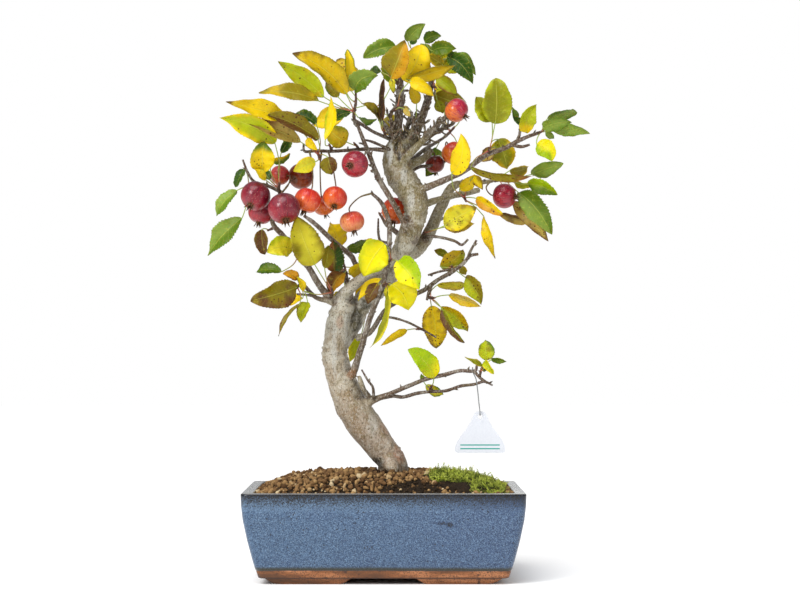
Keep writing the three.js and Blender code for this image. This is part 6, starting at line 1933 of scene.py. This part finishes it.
apples = [
    [-136, -68, 411, 15.9, 0.97, -0.35, -0.55, -0.75, -124, -52, 423, "plum"],
    [-105, -78, 397, 17.1, 0.96, 0.15, -0.5, -0.85, -109, -51, 416, "plum"],
    [-132, -40, 396, 14, 0.97, -0.2, -0.2, -0.95, -119, -46, 398, "wine"],
    [-81, -58, 407, 14.3, 0.98, -0.3, -0.1, -0.95, -80, -41, 461, "coral"],
    [-52, -52, 410, 13.3, 0.93, -0.05, -0.6, -0.8, -60, -33, 462, "orange"],
    [-65, -28, 404, 11.9, 0.95, 0.2, 0.3, -0.9, -67, -36, 462, "orange"],
    [-112, -34, 436, 10.6, 1.0, -0.7, 0.3, 0.1, -108, -49, 417, "blush"],
    [-90, -21, 436, 14.1, 0.97, 0.5, 0.6, 0.3, -112, -46, 409, "russet"],
    [-31, -46, 447, 14.5, 0.95, -0.35, -0.85, -0.2, -19, -18, 465, "plumRed"],
    [-34, -34, 386, 13.4, 0.9, 0.2, -0.1, -0.97, -14, -23, 417, "peach"],
    [13, 28, 402, 15.6, 0.97, -0.2, -0.3, -0.9, 22, 10, 424, "orangeRed"],
    [57, 36, 455, 10.7, 1.0, 0.1, 0.2, -0.95, 44, 20, 466, "darkRed"],
    [77, 24, 466, 12.9, 0.98, 0.5, -0.2, -0.8, 70, 36, 458, "orange"],
    [78, -50, 504, 12.8, 0.98, 0.62, -0.2, -0.5, 72, -38, 499, "pinkOrange"],
    [132, -4, 416, 13.7, 0.98, 0.85, -0.35, -0.1, 118, 38, 435, "plumRed"],
]
appleLooks = {  # skin, shaded side, streaks, how much bloom, and for some the top
    "plum": ((116, 14, 38), (156, 32, 48), (80, 12, 30), 0.08, (84, 22, 50)),
    "wine": ((130, 20, 40), (168, 44, 54), (92, 14, 28), 0.08, (98, 24, 50)),
    "peach": ((222, 74, 58), (240, 150, 92), (204, 52, 50), 0.05, None),
    "coral": ((216, 48, 38), (236, 104, 48), (186, 28, 34), 0.03, None),
    "orange": ((212, 58, 32), (232, 116, 40), (184, 32, 32), 0.03, None),
    "blush": ((190, 44, 50), (226, 112, 62), (154, 24, 42), 0.05, None),
    "russet": ((118, 36, 24), (168, 80, 34), (76, 22, 20), 0.03, None),
    "plumRed": ((146, 18, 48), (180, 48, 58), (104, 12, 38), 0.07, None),
    "orangeRed": ((200, 48, 28), (226, 104, 38), (172, 26, 26), 0.03, None),
    "darkRed": ((104, 24, 20), (142, 52, 30), (70, 16, 18), 0.03, None),
    "pinkOrange": ((178, 24, 66), (224, 112, 44), (150, 16, 60), 0.04, None),
}
fruit = {
    "around": 48,
    "down": 30,
    "stalkDip": 0.2,
    "calyxDip": 0.12,
    "dipWidth": 0.4,
    "lobes": 0.022,
    "lean": 0.015,
    "sepals": 5,
    "stamens": 9,
    "stalk": 0.75,
    "foot": 1.15,
    "stalkPitch": 1.6,
    "stalkSides": 9,
    "cheek": Vector((0.5, -0.2, 0.85)).normalized(),
    "stalkRed": srgb(116, 72, 58),
    "stalkGreen": srgb(128, 116, 74),
}


def skinFinish(look):
    *tones, bloom, top = appleLooks[look]
    skin, side, glow = (srgb(*tone) for tone in tones)
    paint = Finish(
        "appleSkin" + look[0].upper() + look[1:],
        Coat_Weight=0.25,
        Coat_Roughness=0.07,
        Specular_IOR_Level=0.22,
        Subsurface_Weight=0.04,
        Subsurface_Scale=0.003,
    )
    mark = paint.mark("mark", "Vector")
    height = paint.split(mark)[2]
    streaks = paint.noise(1.6, 5, 0.6, paint.stretched((7, 7, 0.9), mark))
    patches = paint.noise(38, 2)
    sunny = paint.split(paint.mark("tint", "Vector"))[0]
    flush = patches * 0.6 + sunny * 0.5
    paint.base(paint.mix(flush.band(0.44, 0.7), side, skin))
    paint.cover(glow, streaks.band(0.52, 0.66))
    paint.cover(side, streaks.band(0.46, 0.36) * 0.55)
    if top:
        paint.cover(srgb(*top), height.band(-0.1, 0.8) * 0.75)
    paint.cover(srgb(232, 176, 150), paint.cells(520).band(0.24, 0.12) * 0.42)
    dusty = paint.noise(60, 4).band(0.4, 0.7) * bloom
    paint.cover(srgb(206, 176, 190), dusty)
    paint.cover(srgb(116, 84, 50), abs(height).band(0.9, 0.99) * 0.6)
    paint.rough(dusty + patches * 0.3, 0.24, 0.7)
    paint.relief(paint.noise(160), 0.0004, 0.4)
    return paint


def stalkFinish():
    paint = Finish("appleStalk", Roughness=0.65)
    grain = paint.noise(500, 4)
    paint.base(paint.mark("tint", "Color"))
    paint.cover(srgb(140, 120, 80), grain.band(0.5, 0.7))
    paint.relief(grain, 0.0003, 0.6)
    return paint


class Apple:
    def __init__(self, row, number):
        self.centre = place(row[:3])
        self.radius, self.squash = row[3] * mm, row[4]
        self.up = -Vector(row[5:8]).normalized()
        self.one = self.up.orthogonal().normalized()
        self.two = self.up.cross(self.one)
        self.end = place(row[8:11])
        self.number = number
        self.draw = random.Random(number)

    def out(self, angle):
        return self.one * math.cos(angle) + self.two * math.sin(angle)

    def addBall(self, shape):
        lopsided = self.draw.uniform(0, 6.28)
        dips = {"stalk": -fruit["stalkDip"], "calyx": fruit["calyxDip"]}
        rows, rings = [], []
        for k in range(1, fruit["down"]):
            t = math.pi * k / fruit["down"]
            flat = self.radius * math.sin(t)
            hollow = math.exp(-((flat / (fruit["dipWidth"] * self.radius)) ** 2))
            dip = dips["calyx" if t > math.pi / 2 else "stalk"]
            rise = (self.squash * math.cos(t) + hollow * dip) * self.radius
            ring, row = [], []
            for a in turns(fruit["around"]):
                lobes = 1 + fruit["lobes"] * math.cos(5 * a) * max(0, -math.cos(t)) ** 2
                lobes *= 1 + fruit["lean"] * math.cos(a - lopsided)
                arm = self.out(a) * flat * lobes + self.up * rise
                sunny = 0.5 + 0.5 * arm.normalized().dot(fruit["cheek"])
                mark = (math.cos(a), math.sin(a), math.cos(t))
                ring.append(self.centre + arm)
                row.append(shape.point(self.centre + arm, (sunny, sunny, sunny, 1), mark))
            rows.append(row)
            rings.append(ring)
        for high, low in zip(rows, rows[1:]):
            shape.walls(low, high)
        shape.cap(rows[0], rings[0], False, mark=(0, 0, 1))
        shape.cap(rows[-1], rings[-1], True, mark=(0, 0, -1))

    def addCalyx(self, shape):  # the five dried sepals and the stamens between
        draw, out, size = self.draw, -self.up, self.radius
        foot = self.centre + out * size * self.squash * 0.84
        for turn in turns(fruit["sepals"]):
            radial = self.out(turn + draw.uniform(-0.2, 0.2))
            around = out.cross(radial)
            lean = draw.uniform(0.1, 0.5)
            rows = []
            for s in (0, 0.3, 0.6, 0.85, 1.0):
                wide = around * size * 0.13 * (1 - 0.92 * s)
                spot = foot + (radial * (0.16 + lean * 0.34 * s * s) + out * 0.44 * s) * size
                outer, inner = spot + radial * 0.04 * size, spot - radial * 0.03 * size
                rows.append([spot - wide, outer, spot + wide, inner])
            shape.rings(rows, 1)
        for _ in range(fruit["stamens"]):
            radial = self.out(draw.uniform(0, 6.28))
            start = foot + radial * size * draw.uniform(0.0, 0.12)
            end = start + out * size * draw.uniform(0.2, 0.38) + radial * size * 0.06
            shape.rings(tubeRings([(start, 0.14 * mm), (end, 0.1 * mm)], 5), 1)

    def addStalk(self, shape):
        leave = self.centre + self.up * self.radius * 1.15
        reach = (self.end - leave).length
        bow = (leave + self.end) / 2 + self.up * 0.12 * reach
        start = self.centre + self.up * self.radius * self.squash * 0.6
        path = [(spot, fruit["stalk"]) for spot in (start, leave, bow)]
        path.append((self.end, fruit["foot"]))
        samples = knobbly(curveThrough(path, fruit["stalkPitch"] * mm), self.number, 0.06)
        rings = tubeRings(samples, fruit["stalkSides"])
        shape.rings(rings, 2, fade(fruit["stalkRed"], fruit["stalkGreen"], len(rings)))


def makeApples():
    stops = [(0.3, srgb(52, 36, 26)), (0.55, srgb(104, 76, 50)), (0.75, srgb(156, 124, 84))]
    matt = {"Roughness": 0.9, "Specular_IOR_Level": 0.2}
    dry = grainFinish("dryCalyx", (700, 4), stops, (0.0003, 0.7), **matt)
    stalk = stalkFinish()
    skins = {look: skinFinish(look) for look in appleLooks}
    for number, row in enumerate(apples):
        apple = Apple(row, number)
        shape = Shape()
        apple.addBall(shape)
        apple.addCalyx(shape)
        apple.addStalk(shape)
        name = f"apple_{number + 1}"
        finishes = [skins[row[-1]], dry, stalk]
        addPiece(f"fruit_{number + 1}", shape.mesh(name), finishes, "fruit", name)


# The writing tag on its wire

tag = {
    "hole": (103.5, -42, 175.8),
    "holeRadius": 2.5,
    "holeSides": 20,
    "thickness": 0.9,
    "outline": [
        (-24.4, -39), (24.4, -39), (26.2, -38.2), (27, -36.6), (27, -34), (26.4, -31),
        (24.4, -26.4), (20.2, -20), (14.4, -12.6), (10.2, -5.6), (7, 2), (5.2, 4.6),
        (2.8, 5.6), (0, 5.8), (-2.8, 5.6), (-5.2, 4.6), (-7, 2), (-10.2, -5.6),
        (-14.4, -12.6), (-20.2, -20), (-24.4, -26.4), (-26.4, -31), (-27, -34),
        (-27, -36.6), (-26.2, -38.2),
    ],
    "lines": (-30.5, -34.5),
    "lineTone": srgb(10, 164, 148),
    "lineReach": 21.5,
    "lineWidth": 1.4,
    "wire": [
        [95, -44.6, 225.5], [95.3, -43.2, 228], [95.6, -40.8, 228.4], [96, -38.3, 226],
        [96.4, -38.6, 223.4], [96.9, -40.8, 221.4], [99.2, -42.3, 216], [100.8, -42.8, 205],
        [102.3, -43.6, 190], [103.3, -45, 180.6], [103.5, -44.4, 177.6], [103.5, -42, 177.2],
        [103.5, -39.6, 177.8], [103.5, -39.2, 181],
    ],
    "wireRadius": 0.55,
    "wirePitch": 0.8,
    "wireSides": 10,
}


def cardFinish():
    stops = [(0.3, srgb(226, 230, 238)), (0.7, srgb(236, 239, 246))]
    matt = {"Roughness": 0.62, "Specular_IOR_Level": 0.3}
    paint = grainFinish("whiteCard", (700, 4), stops, (0.0001, 0.4), **matt)
    across, _, height = paint.split(paint.where)
    middle = place(tag["hole"])
    half, reach = tag["lineWidth"] / 2 * mm, tag["lineReach"] * mm
    for offset in tag["lines"]:
        z = middle.z + offset * mm
        line = across.band(middle.x - reach, middle.x - reach + 0.5 * mm)
        line = line * across.band(middle.x + reach, middle.x + reach - 0.5 * mm)
        line = line * height.band(z - half, z - half + 0.1 * mm)
        line = line * height.band(z + half, z + half - 0.1 * mm)
        paint.cover(tag["lineTone"], line)
    return paint


def makeTag():
    hx, hy, hz = tag["hole"]
    r, half = tag["holeRadius"], tag["thickness"] / 2
    hole = [(r * math.cos(t), r * math.sin(t)) for t in turns(tag["holeSides"])]
    shape = Shape()
    sides = []
    for way in (-1, 1):
        y = hy + way * half
        loops = [[place((hx + x, y, hz + z)) for x, z in ring] for ring in (tag["outline"], hole)]
        sides.append(shape.fill(loops, Vector((0, way, 0))))
    front, back = sides
    count = len(tag["outline"])
    shape.walls(front[:count], back[:count])
    shape.walls(back[count:], front[count:])
    mesh = shape.mesh("tag")
    mesh.polygons.foreach_set("use_smooth", [False] * len(mesh.polygons))
    addPiece("writingTag", mesh, [cardFinish()], "tag_card", "tag")

    stops = [(0.3, srgb(110, 112, 112)), (0.7, srgb(168, 170, 170))]
    grey = grainFinish("greyWire", (900, 3), stops, (0.0001, 0.4), (0.35, 0.6), Metallic=0.6)
    wire = Shape()
    path = [[*p, tag["wireRadius"]] for p in tag["wire"]]
    wire.rings(tubeRings(smoothPath(path, tag["wirePitch"] * mm), tag["wireSides"]))
    addPiece("tagWire", wire.mesh("tagWire"), [grey], "wire", "tag_wire")


def netFinish():
    stops = [(0.4, srgb(22, 22, 23)), (0.75, srgb(70, 62, 54))]
    relief, rough = (0.0002, 0.5), (0.4, 0.75)
    return grainFinish("blackNetting", (300, 4), stops, relief, rough, Specular_IOR_Level=0.4)


# Put together

setCamera()
setLight()
setFloor()
addPiece("glazedTray", makeTray(), [trayFinish()], "glazed_tray", "pot")
net = netFinish()
recoat("drain_mesh_left", net)
recoat("drain_mesh_right", net)
print("tray done")
makeMoss(makeGround())
print("ground done")
makeWood()
print("wood done")
makeSprays()
print("leaves done")
makeApples()
makeTag()
print("apples and tag done")
